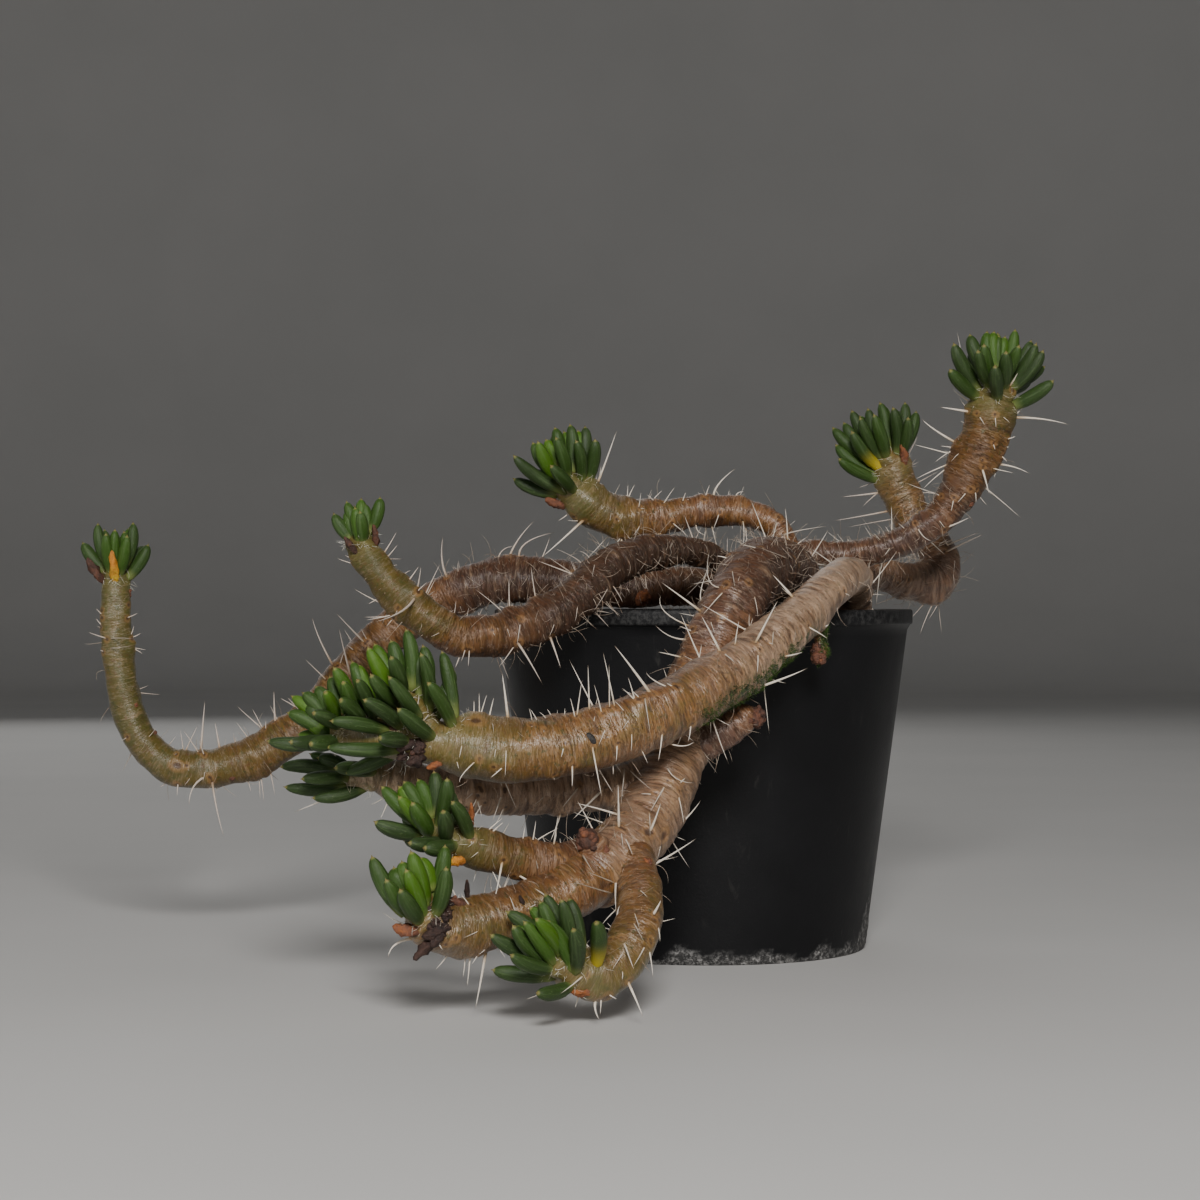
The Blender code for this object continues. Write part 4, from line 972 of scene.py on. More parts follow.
def framed(places, first_tangent=None):
    """Stations from (position and radius, distance) places, each frame turned no more than the line bends."""
    last = len(places) - 1
    stations = []
    side = None
    for i, (place, distance) in enumerate(places):
        before = places[max(i - 1, 0)][0].to_3d()
        after = places[min(i + 1, last)][0].to_3d()
        along = (after - before).normalized()
        if i == 0 and first_tangent is not None:
            along = first_tangent.normalized()
        if side is None:
            side = along.orthogonal().normalized()
        else:
            side = (side - along * side.dot(along)).normalized()
        stations.append(Station(place.to_3d(), along, side, along.cross(side), place.w, distance))
    return stations


def stem_length(limb):
    """How long a limb is, up to the head that it may carry."""
    return stations_along(LIMBS[limb], STEM_STEP)[-1].distance


def station_at(stations, distance):
    """The station at a distance along, between the ones that were worked out."""
    for a, b in zip(stations, stations[1:]):
        if distance <= b.distance:
            break
    share = (distance - a.distance) / (b.distance - a.distance)
    along = a.along.lerp(b.along, share).normalized()
    side = a.side.lerp(b.side, share)
    side = (side - along * side.dot(along)).normalized()
    radius = a.radius + (b.radius - a.radius) * share
    return Station(a.centre.lerp(b.centre, share), along, side, along.cross(side), radius, distance)


def around(station, angle):
    """The direction that points out of the stem at an angle around it."""
    return station.side * math.cos(angle) + station.up * math.sin(angle)


def wall_radius(z):
    """The pot's outer wall radius at a height."""
    return POT_BASE_RADIUS + (POT_WALL_TOP_RADIUS - POT_BASE_RADIUS) * z / (POT_HEIGHT - BAND_HEIGHT)


def clear_of_pot(centre, radius):
    """Whether a ball is clear of the pot, of the soil and of what the pot stands on."""
    if centre.z - radius < LOWEST:
        return False
    if centre.z - radius > POT_HEIGHT + TOUCH_GAP:
        return True
    from_axis = math.hypot(centre.x, centre.y)
    if from_axis - radius > BAND_RADIUS + TOUCH_GAP:
        return True
    inner = wall_radius(centre.z) - POT_WALL - TOUCH_GAP
    return from_axis + radius < inner and centre.z - radius > SOIL_CENTRE_HEIGHT + 2 * SOIL_UNEVENNESS


def is_clear(growth, node, others, clearance):
    """Whether a leaf or a spine keeps clear of every other piece."""
    for centre in growth.line:
        if not clear_of_pot(centre, growth.radius):
            return False
        for other in others:
            reach = growth.radius + other.radius + clearance
            if other.node != node and (other.centre - centre).length_squared < reach * reach:
                return False
    return True


def core_stations(head, limbs, step=CORE_STEP, per_span=LINE_STEPS):
    """The stations of a head's cores. The first starts a touching gap past the flat end of its stem."""
    end = limbs[head["limb"]][-1]
    start = end.centre + end.along * TOUCH_GAP
    first = (start.x / MM, start.y / MM, start.z / MM, end.radius / MM * CORE_START)
    routes = [route for _, route in head["cores"]]
    return [
        stations_along([first, *routes[0]], step, end.along, per_span),
        *(stations_along(route, step, None, per_span) for route in routes[1:]),
    ]


def leaf_growth(core, share, angle, splay, length, radius):
    """A leaf that starts in the core and curves in towards the core's axis."""
    reach = core[-1].distance
    first = radius + TOUCH_GAP
    place = station_at(core, first + (reach - first) * share)
    out = around(place, angle)
    heading = place.along * math.cos(splay) + out * math.sin(splay)
    light = Vector((0, 0, LEAF_LIFT))
    heading = (heading + light - place.along * light.dot(place.along)).normalized()
    curl = (place.along * LEAF_CURL_AHEAD - out * LEAF_CURL_IN) * math.sin(splay)
    root = place.centre + out * place.radius * LEAF_ROOT
    line = []
    for i in range(LEAF_SAMPLES):
        u = i / (LEAF_SAMPLES - 1)
        line.append(root + heading * (length * u) + curl * (length * u * u))
    return Growth(line, radius, place, out, share)


def grow_leaves(name, head, cores, others):
    """A head's leaves in a spiral on each core, the outer ones first, clear of the other pieces."""
    draw = random.Random(f"{SEED} {name}")
    outer_length, inner_length = head["length"]
    outer_splay, inner_splay = head["splay"]
    leaves = []
    for core, (count, _) in zip(cores, head["cores"]):
        for i in range(count):
            share = (i + 0.5) / count
            length = (outer_length + (inner_length - outer_length) * share) * draw.uniform(*LEAF_LENGTHS) * MM
            splay = outer_splay + (inner_splay - outer_splay) * share**SPLAY_EASE
            splay = math.radians(splay + draw.uniform(-SPLAY_JITTER, SPLAY_JITTER))
            angle = i * GOLDEN_ANGLE + draw.uniform(-LEAF_TURN_JITTER, LEAF_TURN_JITTER)
            for attempt in range(LEAF_TRIES):
                bend = attempt / LEAF_TRIES
                leaf = leaf_growth(
                    core,
                    share**SPACING_EASE,
                    angle + draw.uniform(-math.pi, math.pi) * bend,
                    splay * (1 - CROWDED_SPLAY * bend * draw.random()),
                    length * (1 - CROWDED_LENGTH * bend),
                    head["radius"] * MM,
                )
                if is_clear(leaf, name, others, LEAF_CLEARANCE):
                    leaves.append(leaf)
                    break
            else:
                raise ValueError(f"leaf {i} of {name} finds no clear place")
    return leaves


def grow_spines(name, limb, stations, others):
    """A limb's spines in a spiral along it, clear of the other pieces. One with no clear place is skipped."""
    spacing, shortest, longest = SPINES[limb]
    draw = random.Random(f"{SEED} {limb}")
    spines = []
    distance = spacing * MM
    turn = 0
    while distance < stations[-1].distance - SPINE_END_MARGIN:
        place = station_at(stations, distance)
        for _ in range(SPINE_TRIES):
            angle = turn * GOLDEN_ANGLE + draw.uniform(-SPINE_TURN_JITTER, SPINE_TURN_JITTER)
            lean = math.radians(draw.uniform(-SPINE_LEAN, SPINE_LEAN))
            out = around(place, angle)
            heading = (out * math.cos(lean) + place.along * math.sin(lean)).normalized()
            root = place.centre + out * place.radius * SPINE_ROOT
            reach = draw.uniform(shortest, longest) * MM + place.radius * (1 - SPINE_ROOT)
            line = [root + heading * (reach * i / (SPINE_SAMPLES - 1)) for i in range(SPINE_SAMPLES)]
            spine = Growth(line, SPINE_RADIUS, place, out, distance / stations[-1].distance)
            if is_clear(spine, name, others, SPINE_CLEARANCE):
                spines.append(spine)
                break
        turn += 1
        distance += spacing * MM
    return spines


def grow():
    """All the leaves and spines, exactly where the part has them."""
    limbs = {name: stations_along(points, STEM_STEP) for name, points in LIMBS.items()}
    taken = []
    for name, stem in STEMS.items():
        for limb in stem["limbs"]:
            taken += [Sphere(name, s.centre, s.radius) for s in stations_along(LIMBS[limb], BODY_STEP)]
    cores = {name: core_stations(head, limbs) for name, head in HEADS.items()}
    leaves = {}
    for name, head in HEADS.items():
        own_stem = next(stem for stem in STEMS if head["limb"] in STEMS[stem]["limbs"])
        end = limbs[head["limb"]][-1].centre
        near = NEAR_STEM_TIP * limbs[head["limb"]][-1].radius
        others = [s for s in taken if s.node != own_stem or (s.centre - end).length > near]
        leaves[name] = grow_leaves(name, head, cores[name], others)
        taken += [Sphere(name, s.centre, s.radius) for core in cores[name] for s in core]
        taken += [Sphere(name, centre, leaf.radius) for leaf in leaves[name] for centre in leaf.line]
    spines = {}
    for name, stem in STEMS.items():
        for limb in stem["limbs"]:
            spines[limb] = grow_spines(name, limb, limbs[limb], taken) if limb in SPINES else []
        grown = [spine for limb in stem["limbs"] for spine in spines[limb]]
        taken += [Sphere(name, centre, SPINE_RADIUS) for spine in grown for centre in spine.line]
    return limbs, leaves, spines


class Surface:
    """A mesh in the making: its points, its faces, and each attribute's number for each point."""

    def __init__(self, *attributes):
        self.points = []
        self.faces = []
        self.values = {name: [] for name in attributes}
        self.skin = []

    def add_ring(self, points, **values):
        """Adds a ring of points that share the same values, and returns its first index."""
        first = len(self.points)
        self.points += points
        for name, numbers in self.values.items():
            numbers += [values.get(name, 0.0)] * len(points)
        return first

    def join(self, low, high, sides):
        """Adds the faces between two rings that start at these indices."""
        for i in range(sides):
            j = (i + 1) % sides
            self.faces.append((low + i, low + j, high + j, high + i))

    def cap(self, first, sides, reverse):
        """Adds a flat face that closes a ring."""
        ring = range(first, first + sides)
        self.faces.append(tuple(reversed(ring)) if reverse else tuple(ring))

    def close(self, rings, sides):
        """Joins rings in a row, and closes both ends."""
        for low, high in zip(rings, rings[1:]):
            self.join(low, high, sides)
        self.cap(rings[0], sides, True)
        self.cap(rings[-1], sides, False)

    def sweep(self, centres, radii, sides, values, outline=None):
        """A closed tube through centres, by its radius and its values at each. It ends in a point if the last
        radius is 0. The outline gives a share of the radius at an angle."""
        side = (centres[1] - centres[0]).orthogonal().normalized()
        last = len(centres) - 1
        rings = []
        for i, (centre, radius) in enumerate(zip(centres, radii)):
            along = (centres[min(i + 1, last)] - centres[max(i - 1, 0)]).normalized()
            side = (side - along * side.dot(along)).normalized()
            up = along.cross(side)
            if i == last and radius == 0:
                tip = self.add_ring([centre], **values[i])
                for k in range(sides):
                    self.faces.append((rings[-1] + k, rings[-1] + (k + 1) % sides, tip))
                break
            ring = []
            for k in range(sides):
                angle = 2 * math.pi * k / sides
                share = outline(i, side, up, angle) if outline else 1
                ring.append(centre + (side * math.cos(angle) + up * math.sin(angle)) * (radius * share))
            rings.append(self.add_ring(ring, **values[i]))
        else:
            self.cap(rings[-1], sides, False)
        for low, high in zip(rings, rings[1:]):
            self.join(low, high, sides)
        self.cap(rings[0], sides, True)

    def make(self, name, look, node):
        """Puts the finished piece in the scene, in place of a node."""
        mesh = bpy.data.meshes.new(name)
        mesh.from_pydata([tuple(point) for point in self.points], [], self.faces)
        for attribute, numbers in self.values.items():
            mesh.attributes.new(attribute, "FLOAT", "POINT").data.foreach_set("value", numbers)
        if self.skin:
            flat = [number for point in self.skin for number in point]
            mesh.attributes.new("skin", "FLOAT_VECTOR", "POINT").data.foreach_set("vector", flat)
        mesh.shade_smooth()
        mesh.materials.append(look)
        placed(linked(name, mesh), node)


def linked(name, data):
    """A new object in the scene."""
    made = bpy.data.objects.new(name, data)
    bpy.context.scene.collection.objects.link(made)
    return made


def mesh_of(name, shape):
    """The mesh of a shape in the making, which is freed."""
    mesh = bpy.data.meshes.new(name)
    shape.to_mesh(mesh)
    shape.free()
    return mesh


def placed(piece, node):
    """Tells the frame what a piece rides on and what it stands for."""
    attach(piece, "root")
    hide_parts(node)


class Look:
    """A material in the making, with short names for the nodes that it uses."""

    def __init__(self, name, **settings):
        self.material = bpy.data.materials.new(name)
        self.material.use_nodes = True
        self.tree = self.material.node_tree
        self.shader = self.tree.nodes["Principled BSDF"]
        for socket, value in settings.items():
            self.shader.inputs[socket.replace("_", " ").title().replace("Ior", "IOR")].default_value = value

    def node(self, kind, inputs=(), **settings):
        """A node with its settings, and its inputs set or linked by name or by number."""
        made = self.tree.nodes.new(kind)
        for setting, value in settings.items():
            setattr(made, setting, value)
        for socket, value in dict(inputs).items():
            if isinstance(value, bpy.types.NodeSocket):
                self.tree.links.new(value, made.inputs[socket])
            else:
                made.inputs[socket].default_value = value
        return made

    def attribute(self, name, vector=False):
        """A number or a vector that the mesh holds for each point."""
        return self.node("ShaderNodeAttribute", attribute_name=name).outputs["Vector" if vector else "Fac"]

    def place(self):
        """The place on the object."""
        return self.node("ShaderNodeTexCoord").outputs["Object"]

    def scaled(self, vector, by):
        """A vector times three numbers."""
        return self.node("ShaderNodeVectorMath", {0: vector, 1: by}, operation="MULTIPLY").outputs[0]

    def noise(self, vector, scale, detail=3.0, roughness=0.55, distortion=0.0):
        """Noise from 0 to 1."""
        inputs = {"Vector": vector, "Scale": scale, "Detail": detail, "Roughness": roughness}
        inputs["Distortion"] = distortion
        return self.node("ShaderNodeTexNoise", inputs).outputs["Fac"]

    def steps(self, value, low, high, first=0.0, last=1.0):
        """A value from low to high, mapped smoothly from first to last."""
        inputs = {"Value": value, "From Min": low, "From Max": high, "To Min": first, "To Max": last}
        return self.node("ShaderNodeMapRange", inputs, interpolation_type="SMOOTHSTEP").outputs["Result"]

    def math(self, operation, a, b=0.5):
        """Arithmetic on two values."""
        return self.node("ShaderNodeMath", {0: a, 1: b}, operation=operation).outputs[0]

    def times(self, a, b):
        """Two values multiplied."""
        return self.math("MULTIPLY", a, b)

    def plus(self, a, b):
        """Two values added."""
        return self.math("ADD", a, b)

    def minus(self, a, b):
        """One value less another."""
        return self.math("SUBTRACT", a, b)

    def away(self, value, middle):
        """How far a value is from a middle one, on either side."""
        return self.math("ABSOLUTE", self.minus(value, middle))

    def colours(self, value, *stops):
        """A colour ramp, by (place, colour) stops."""
        made = self.node("ShaderNodeValToRGB", {"Fac": value})
        elements = made.color_ramp.elements
        while len(elements) < len(stops):
            elements.new(0.5)
        for element, (place, colour) in zip(elements, stops):
            element.position = place
            element.color = (*colour, 1)
        return made.outputs["Color"]

    def mixed(self, factor, a, b):
        """Two colours mixed."""
        made = self.node("ShaderNodeMix", data_type="RGBA")
        for name, value in (("Factor_Float", factor), ("A_Color", a), ("B_Color", b)):
            socket = next(s for s in made.inputs if s.identifier == name)
            if isinstance(value, bpy.types.NodeSocket):
                self.tree.links.new(value, socket)
            else:
                socket.default_value = (*value, 1) if isinstance(value, tuple) else value
        return next(s for s in made.outputs if s.identifier == "Result_Color")

    def bump(self, height, distance):
        """A bump of a height in metres where the height value is 1."""
        inputs = {"Height": height, "Distance": distance, "Strength": 1.0}
        return self.node("ShaderNodeBump", inputs).outputs["Normal"]

    def set(self, **links):
        """Links values to the shader's sockets, and returns the material."""
        for socket, value in links.items():
            self.tree.links.new(value, self.shader.inputs[socket.replace("_", " ").title()])
        return self.material


def bark_look():
    """Stem skin: golden to purple-brown by age, with pale streaks across that are partly painted highlight,
    painted shade in its valleys, creases and undersides, darker or paler limbs that are partly painted light
    and shade, dark areoles, moss and wool.
    """
    look = Look("bark", specular_ior_level=0.35, coat_roughness=0.3)
    skin = look.attribute("skin", vector=True)
    age = look.attribute("age")
    patches = look.noise(look.scaled(skin, (0.16, 0.2, 0.2)), 1.0, 3, 0.6)
    streaks = look.noise(look.scaled(skin, (1.5, 0.24, 0.24)), 1.0, 4, 0.66, 0.5)
    glint_lines = look.noise(look.scaled(skin, (1.15, 0.17, 0.17)), 1.0, 3, 0.6, 0.3)
    fine = look.noise(look.scaled(skin, (3.6, 0.8, 0.8)), 1.0, 3, 0.6, 0.2)
    shifted = look.plus(age, look.times(look.minus(patches, 0.5), 0.8))
    colour = look.colours(
        shifted,
        (0.0, (0.098, 0.088, 0.019)),
        (0.16, (0.155, 0.103, 0.021)),
        (0.34, (0.225, 0.106, 0.026)),
        (0.55, (0.215, 0.097, 0.037)),
        (0.78, (0.120, 0.058, 0.036)),
        (1.0, (0.068, 0.036, 0.027)),
    )
    # Orange-brown inside bends and on tops, with painted shade on the undersides.
    browned_and_shaded = look.times(look.attribute("orange_brown_and_shade"), look.steps(patches, 0.25, 0.55, 0.45, 1.0))
    old = look.steps(age, 0.05, 0.36)
    browned_and_shaded = look.times(browned_and_shaded, look.steps(old, 0.0, 1.0, 0.15, 0.8))
    colour = look.mixed(browned_and_shaded, colour, (0.145, 0.056, 0.022))
    ridges = look.times(look.attribute("ridge"), 0.5)
    raised = look.plus(ridges, look.times(streaks, 0.56))
    # Limbs with a tone above 0 are paler in streaks: partly paler bark, partly a painted sheen and painted
    # light on the front stem and on the limb in its shadow.
    tone = look.attribute("tone")
    light_tone = look.steps(tone, 0.0, 1.0, 0.0, 0.8)
    paler_and_painted_sheen = look.times(light_tone, look.steps(raised, 0.34, 0.66, 0.45, 1.0))
    colour = look.mixed(paler_and_painted_sheen, colour, (0.52, 0.36, 0.245))
    # Paler on raised skin: partly the pale skin of the ridges, partly a painted highlight where they catch
    # the light.
    pale = look.times(look.steps(raised, 0.58, 0.84), look.steps(fine, 0.35, 0.6, 0.15, 0.55))
    colour = look.mixed(pale, colour, (0.46, 0.30, 0.18))
    # Painted shade: darker in the valleys between the raised streaks and ridges of old skin.
    dark = look.times(look.steps(raised, 0.5, 0.34), look.steps(old, 0.0, 1.0, 0.2, 0.6))
    colour = look.mixed(dark, colour, (0.080, 0.036, 0.018))
    # Painted highlight: pale glints along thin lines of the skin.
    painted_gleam = look.steps(look.away(glint_lines, 0.5), 0.0, 0.03, 0.34, 0.0)
    painted_gleam = look.times(painted_gleam, look.steps(patches, 0.3, 0.6, 0.3, 1.1))
    colour = look.mixed(painted_gleam, colour, (0.52, 0.40, 0.30))
    # Thin dark lines in the creases of old skin: partly dark cracks, partly painted shade.
    crack_and_crease_shade = look.steps(look.away(streaks, 0.47), 0.0, 0.022, 1.0, 0.0)
    crack_and_crease_shade = look.times(crack_and_crease_shade, look.steps(old, 0.0, 1.0, 0.1, 1.0))
    colour = look.mixed(look.times(crack_and_crease_shade, 0.4), colour, (0.075, 0.034, 0.018))
    # Limbs with a tone below 0 are darker: partly darker bark, partly painted shade where less light reaches
    # them.
    colour = look.mixed(look.steps(tone, 0.0, -1.0, 0.0, 0.95), colour, (0.028, 0.018, 0.010))
    olive = look.times(look.steps(patches, 0.45, 0.6, 0.0, 0.34), look.steps(age, 0.36, 0.1))
    colour = look.mixed(olive, colour, (0.095, 0.088, 0.019))
    specks = look.noise(look.scaled(skin, (1.1, 1.1, 1.1)), 1.0, 2)
    green = look.times(look.steps(specks, 0.58, 0.7), look.steps(age, 0.6, 0.2, 0.15, 0.7))
    colour = look.mixed(green, colour, (0.062, 0.066, 0.016))
    brown = look.times(look.steps(specks, 0.42, 0.3), 0.45)
    colour = look.mixed(brown, colour, (0.135, 0.055, 0.024))
    wool = look.times(look.attribute("wool"), look.steps(fine, 0.3, 0.7, 0.02, 0.3))
    colour = look.mixed(wool, colour, (0.27, 0.24, 0.09))
    foot = look.times(look.attribute("foot"), 0.4)
    colour = look.mixed(foot, colour, (0.18, 0.18, 0.05))
    spot = look.attribute("areole")
    colour = look.mixed(look.steps(spot, 0.12, 0.45, 0.0, 0.4), colour, (0.36, 0.19, 0.07))
    colour = look.mixed(look.steps(spot, 0.62, 0.9, 0.0, 0.85), colour, (0.06, 0.026, 0.014))
    moss_patches = look.noise(skin, 0.7, 4, 0.75)
    moss = look.times(look.attribute("moss"), look.steps(moss_patches, 0.46, 0.54))
    moss_colour = look.mixed(look.steps(fine, 0.4, 0.6), (0.024, 0.030, 0.009), (0.070, 0.105, 0.018))
    colour = look.mixed(moss, colour, moss_colour)
    height = look.plus(look.times(streaks, 0.6), look.times(fine, 0.5))
    height = look.minus(height, look.times(crack_and_crease_shade, 0.25))
    rough = look.plus(look.steps(raised, 0.35, 0.7, 0.5, 0.37), look.times(moss, 0.4))
    bump = look.bump(height, 0.36 * MM)
    return look.set(
        base_color=colour,
        roughness=rough,
        coat_weight=look.steps(tone, 0.0, -0.45, 0.95, 0.05),
        normal=bump,
        coat_normal=bump,
    )


def spine_look(name, dimmer):
    """Spines: bone white or a share dimmer and pinker, with a brown foot."""
    look = Look(name, roughness=0.38, specular_ior_level=0.5)
    along = look.attribute("along")
    colour = look.colours(
        along,
        (0.0, (0.22, 0.11, 0.045)),
        (0.1, (0.50, 0.36, 0.20)),
        (0.26, (0.80, 0.72, 0.60)),
        (0.85, (0.84, 0.79, 0.70)),
        (1.0, (0.52, 0.40, 0.28)),
    )
    grain = look.noise(look.place(), 2600, 2)
    colour = look.mixed(look.steps(grain, 0.5, 0.75, 0, 0.35), colour, (0.62, 0.48, 0.34))
    colour = look.mixed(dimmer, colour, (0.34, 0.24, 0.20))
    return look.set(base_color=colour, normal=look.bump(grain, 0.05 * MM))


def hair_look(name, colour, dark):
    """Hairs and wool, in a pale colour with some darker ones."""
    look = Look(name, roughness=0.7, specular_ior_level=0.25)
    patches = look.noise(look.place(), 420, 2)
    return look.set(base_color=look.mixed(look.steps(patches, 0.4, 0.65), colour, dark))


def leaf_look():
    """Leaves: deep green outside, brighter inside, pale at the foot, with a yellowish point."""
    look = Look("leaf", roughness=0.4, specular_ior_level=0.34)
    look.shader.inputs["Subsurface Weight"].default_value = 0.12
    look.shader.inputs["Subsurface Radius"].default_value = (0.3, 1.0, 0.15)
    look.shader.inputs["Subsurface Scale"].default_value = 0.8 * MM
    along = look.attribute("along")
    inner = look.attribute("inner")
    vary = look.attribute("vary")
    tone = look.plus(inner, look.times(look.minus(vary, 0.5), 0.35))
    colour = look.colours(
        tone,
        (0.0, (0.027, 0.050, 0.014)),
        (0.4, (0.031, 0.066, 0.012)),
        (0.75, (0.042, 0.102, 0.009)),
        (1.0, (0.070, 0.160, 0.008)),
    )
    skin = look.attribute("skin", vector=True)
    streak = look.noise(look.scaled(skin, (0.12, 2.0, 2.0)), 1.0, 3, 0.6)
    colour = look.mixed(look.steps(streak, 0.45, 0.75, 0, 0.4), colour, (0.13, 0.20, 0.075))
    flecks = look.noise(look.scaled(skin, (1.6, 3.2, 3.2)), 1.0, 2)
    colour = look.mixed(look.steps(flecks, 0.6, 0.75, 0, 0.25), colour, (0.22, 0.30, 0.13))
    foot = look.steps(along, 0.3, 0.06)
    colour = look.mixed(look.times(foot, 0.7), colour, (0.22, 0.26, 0.07))
    tip = look.steps(along, 0.955, 0.995)
    colour = look.mixed(look.times(tip, 0.6), colour, (0.36, 0.33, 0.10))
    colour = look.mixed(look.attribute("yellow"), colour, (0.68, 0.52, 0.03))
    point = look.steps(along, 0.985, 0.999)
    colour = look.mixed(look.times(point, 0.7), colour, (0.26, 0.19, 0.07))
    height = look.plus(look.times(streak, 0.5), look.times(flecks, 0.45))
    return look.set(
        base_color=colour,
        roughness=look.steps(streak, 0.3, 0.7, 0.46, 0.62),
        normal=look.bump(height, 0.17 * MM),
    )


def dried_look():
    """Dried leaves and buds: dark purple-brown to orange and yellow, by the mesh's tone."""
    look = Look("dried_leaf", roughness=0.55, specular_ior_level=0.35)
    mottle = look.noise(look.place(), 1100, 5, 0.7)
    mottled = look.times(look.minus(mottle, 0.5), 0.5)
    tone = look.plus(look.attribute("tone"), mottled)
    colour = look.colours(
        tone,
        (0.0, (0.030, 0.020, 0.018)),
        (0.2, (0.085, 0.045, 0.034)),
        (0.38, (0.22, 0.088, 0.050)),
        (0.55, (0.42, 0.14, 0.04)),
        (0.78, (0.66, 0.26, 0.03)),
        (1.0, (0.72, 0.50, 0.03)),
    )
    return look.set(base_color=colour, normal=look.bump(mottle, 0.6 * MM))


def plain_look(name, scale, roughness, *stops):
    """A mottled material from one noise, with a bump."""
    look = Look(name, roughness=roughness, specular_ior_level=0.35)
    patches = look.noise(look.place(), scale, 4, 0.6)
    return look.set(base_color=look.colours(patches, *stops), normal=look.bump(patches, 0.25 * MM))


def pot_look():
    """Black nursery plastic: a soft gloss with fine grain, faint scuffs, dust, and a white crust."""
    look = Look("black_plastic", roughness=0.42, specular_ior_level=0.25)
    place = look.place()
    grain = look.noise(place, 1900, 3, 0.6)
    clouds = look.noise(place, 34, 4, 0.6)
    scuffs = look.noise(look.scaled(place, (1, 1, 0.22)), 300, 4, 0.7, 0.6)
    colour = look.colours(clouds, (0.3, (0.004, 0.0041, 0.0048)), (0.75, (0.008, 0.0083, 0.0095)))
    dust = look.times(look.steps(scuffs, 0.6, 0.76), look.steps(clouds, 0.4, 0.62, 0.0, 0.32))
    colour = look.mixed(dust, colour, (0.10, 0.097, 0.088))
    crust = look.attribute("crust")
    patchy = look.noise(place, 900, 5, 0.8)
    shown = look.times(crust, look.steps(patchy, 0.44, 0.6, 0.1, 0.95))
    colour = look.mixed(shown, colour, (0.34, 0.335, 0.325))
    shine = look.plus(look.steps(clouds, 0.3, 0.7, 0.36, 0.5), look.times(shown, 0.4))
    height = look.plus(look.times(grain, 0.25), look.times(shown, 1.4))
    return look.set(base_color=colour, roughness=shine, normal=look.bump(height, 0.16 * MM))


def soil_look():
    """Potting mix: dark, damp crumbs with lighter fibres."""
    look = Look("potting_mix", roughness=0.95, specular_ior_level=0.15)
    place = look.place()
    crumbs = look.noise(place, 700, 5, 0.7)
    stops = (0.3, (0.012, 0.008, 0.006)), (0.5, (0.045, 0.028, 0.018)), (0.7, (0.12, 0.08, 0.05))
    colour = look.colours(crumbs, *stops)
    return look.set(base_color=colour, normal=look.bump(crumbs, 0.7 * MM))


def floor_look():
    """A plain pale floor."""
    look = Look("floor", roughness=0.85, specular_ior_level=0.2)
    patches = look.noise(look.place(), 6, 3)
    return look.set(base_color=look.colours(patches, (0.3, (0.62, 0.62, 0.61)), (0.7, (0.66, 0.655, 0.645))))


def fine_stations(limb):
    """A limb's fine stations, going on through the core of the head that it carries to a rounded tip."""
    stations = stations_along(LIMBS[limb], SKIN_STEP, None, FINE_LINE_STEPS)
    places = [(s.centre.to_4d(), s.radius, s.distance) for s in stations]
    for head in HEADS.values():
        if head["limb"] == limb:
            core = core_stations(head, {limb: stations}, SKIN_STEP, FINE_LINE_STEPS)[0]
            start = stations[-1].distance + TOUCH_GAP
            places += [(s.centre.to_4d(), s.radius * CORE_SLIMNESS, s.distance + start) for s in core]
    return with_tip(places)


def with_tip(places):
    """Stations whose radius is blurred along the stem and rounds off at the tip."""
    end = places[-1][2]
    blur = SHORT_LIMB_BLUR if end < SHORT_LIMB else RADIUS_BLUR
    blurred = []
    for i, (centre, _, distance) in enumerate(places):
        near = places[max(i - blur, 0):i + blur + 1]
        radius = sum(place[1] for place in near) / len(near)
        share = min(max((distance - end + TIP_DOME) / TIP_DOME, 0), TIP_END)
        centre = centre.copy()
        centre.w = radius * math.sqrt(1 - share * share)
        blurred.append((centre, distance))
    return framed(blurred)


def tree_of(stations):
    """A search tree over stations' centres."""
    tree = KDTree(len(stations))
    for i, station in enumerate(stations):
        tree.insert(station.centre, i)
    tree.balance()
    return tree


def swell(point, neighbours):
    """How far a stem's skin stands out where it runs into another limb of its own stem."""
    most = 0
    for tree, stations in neighbours:
        _, index, distance = tree.find(point)
        gap = distance - stations[index].radius
        if gap < JOINT_REACH:
            most = max(most, JOINT_SWELL * (1 - max(gap, 0) / JOINT_REACH) ** 2)
    return most


def moss_share(limb, centre, out):
    """How mossy the skin is: on the shaded underside of the front stem, where it passes the thick one."""
    if limb == "dry_bud_front":
        return ease((out.x - BUD_MOSS_START) / BUD_MOSS_SPAN)
    if limb != "front":
        return 0
    low, high = MOSS_X
    span = ease((centre.x - low) / MOSS_FADE) * ease((high - centre.x) / MOSS_FADE)
    return span * ease((out.dot(MOSS_SIDE) - MOSS_START) / MOSS_SPAN)


def marks_of(stations, growths, kind):
    """The marks that growths leave in the skin: how far along, the angle and the kind of each."""
    marks = []
    for growth in growths:
        distance = min(max(growth.place.distance, stations[0].distance), stations[-1].distance)
        station = station_at(stations, distance)
        angle = math.atan2(growth.out.dot(station.up), growth.out.dot(station.side))
        marks.append((distance, angle, kind))
    return marks


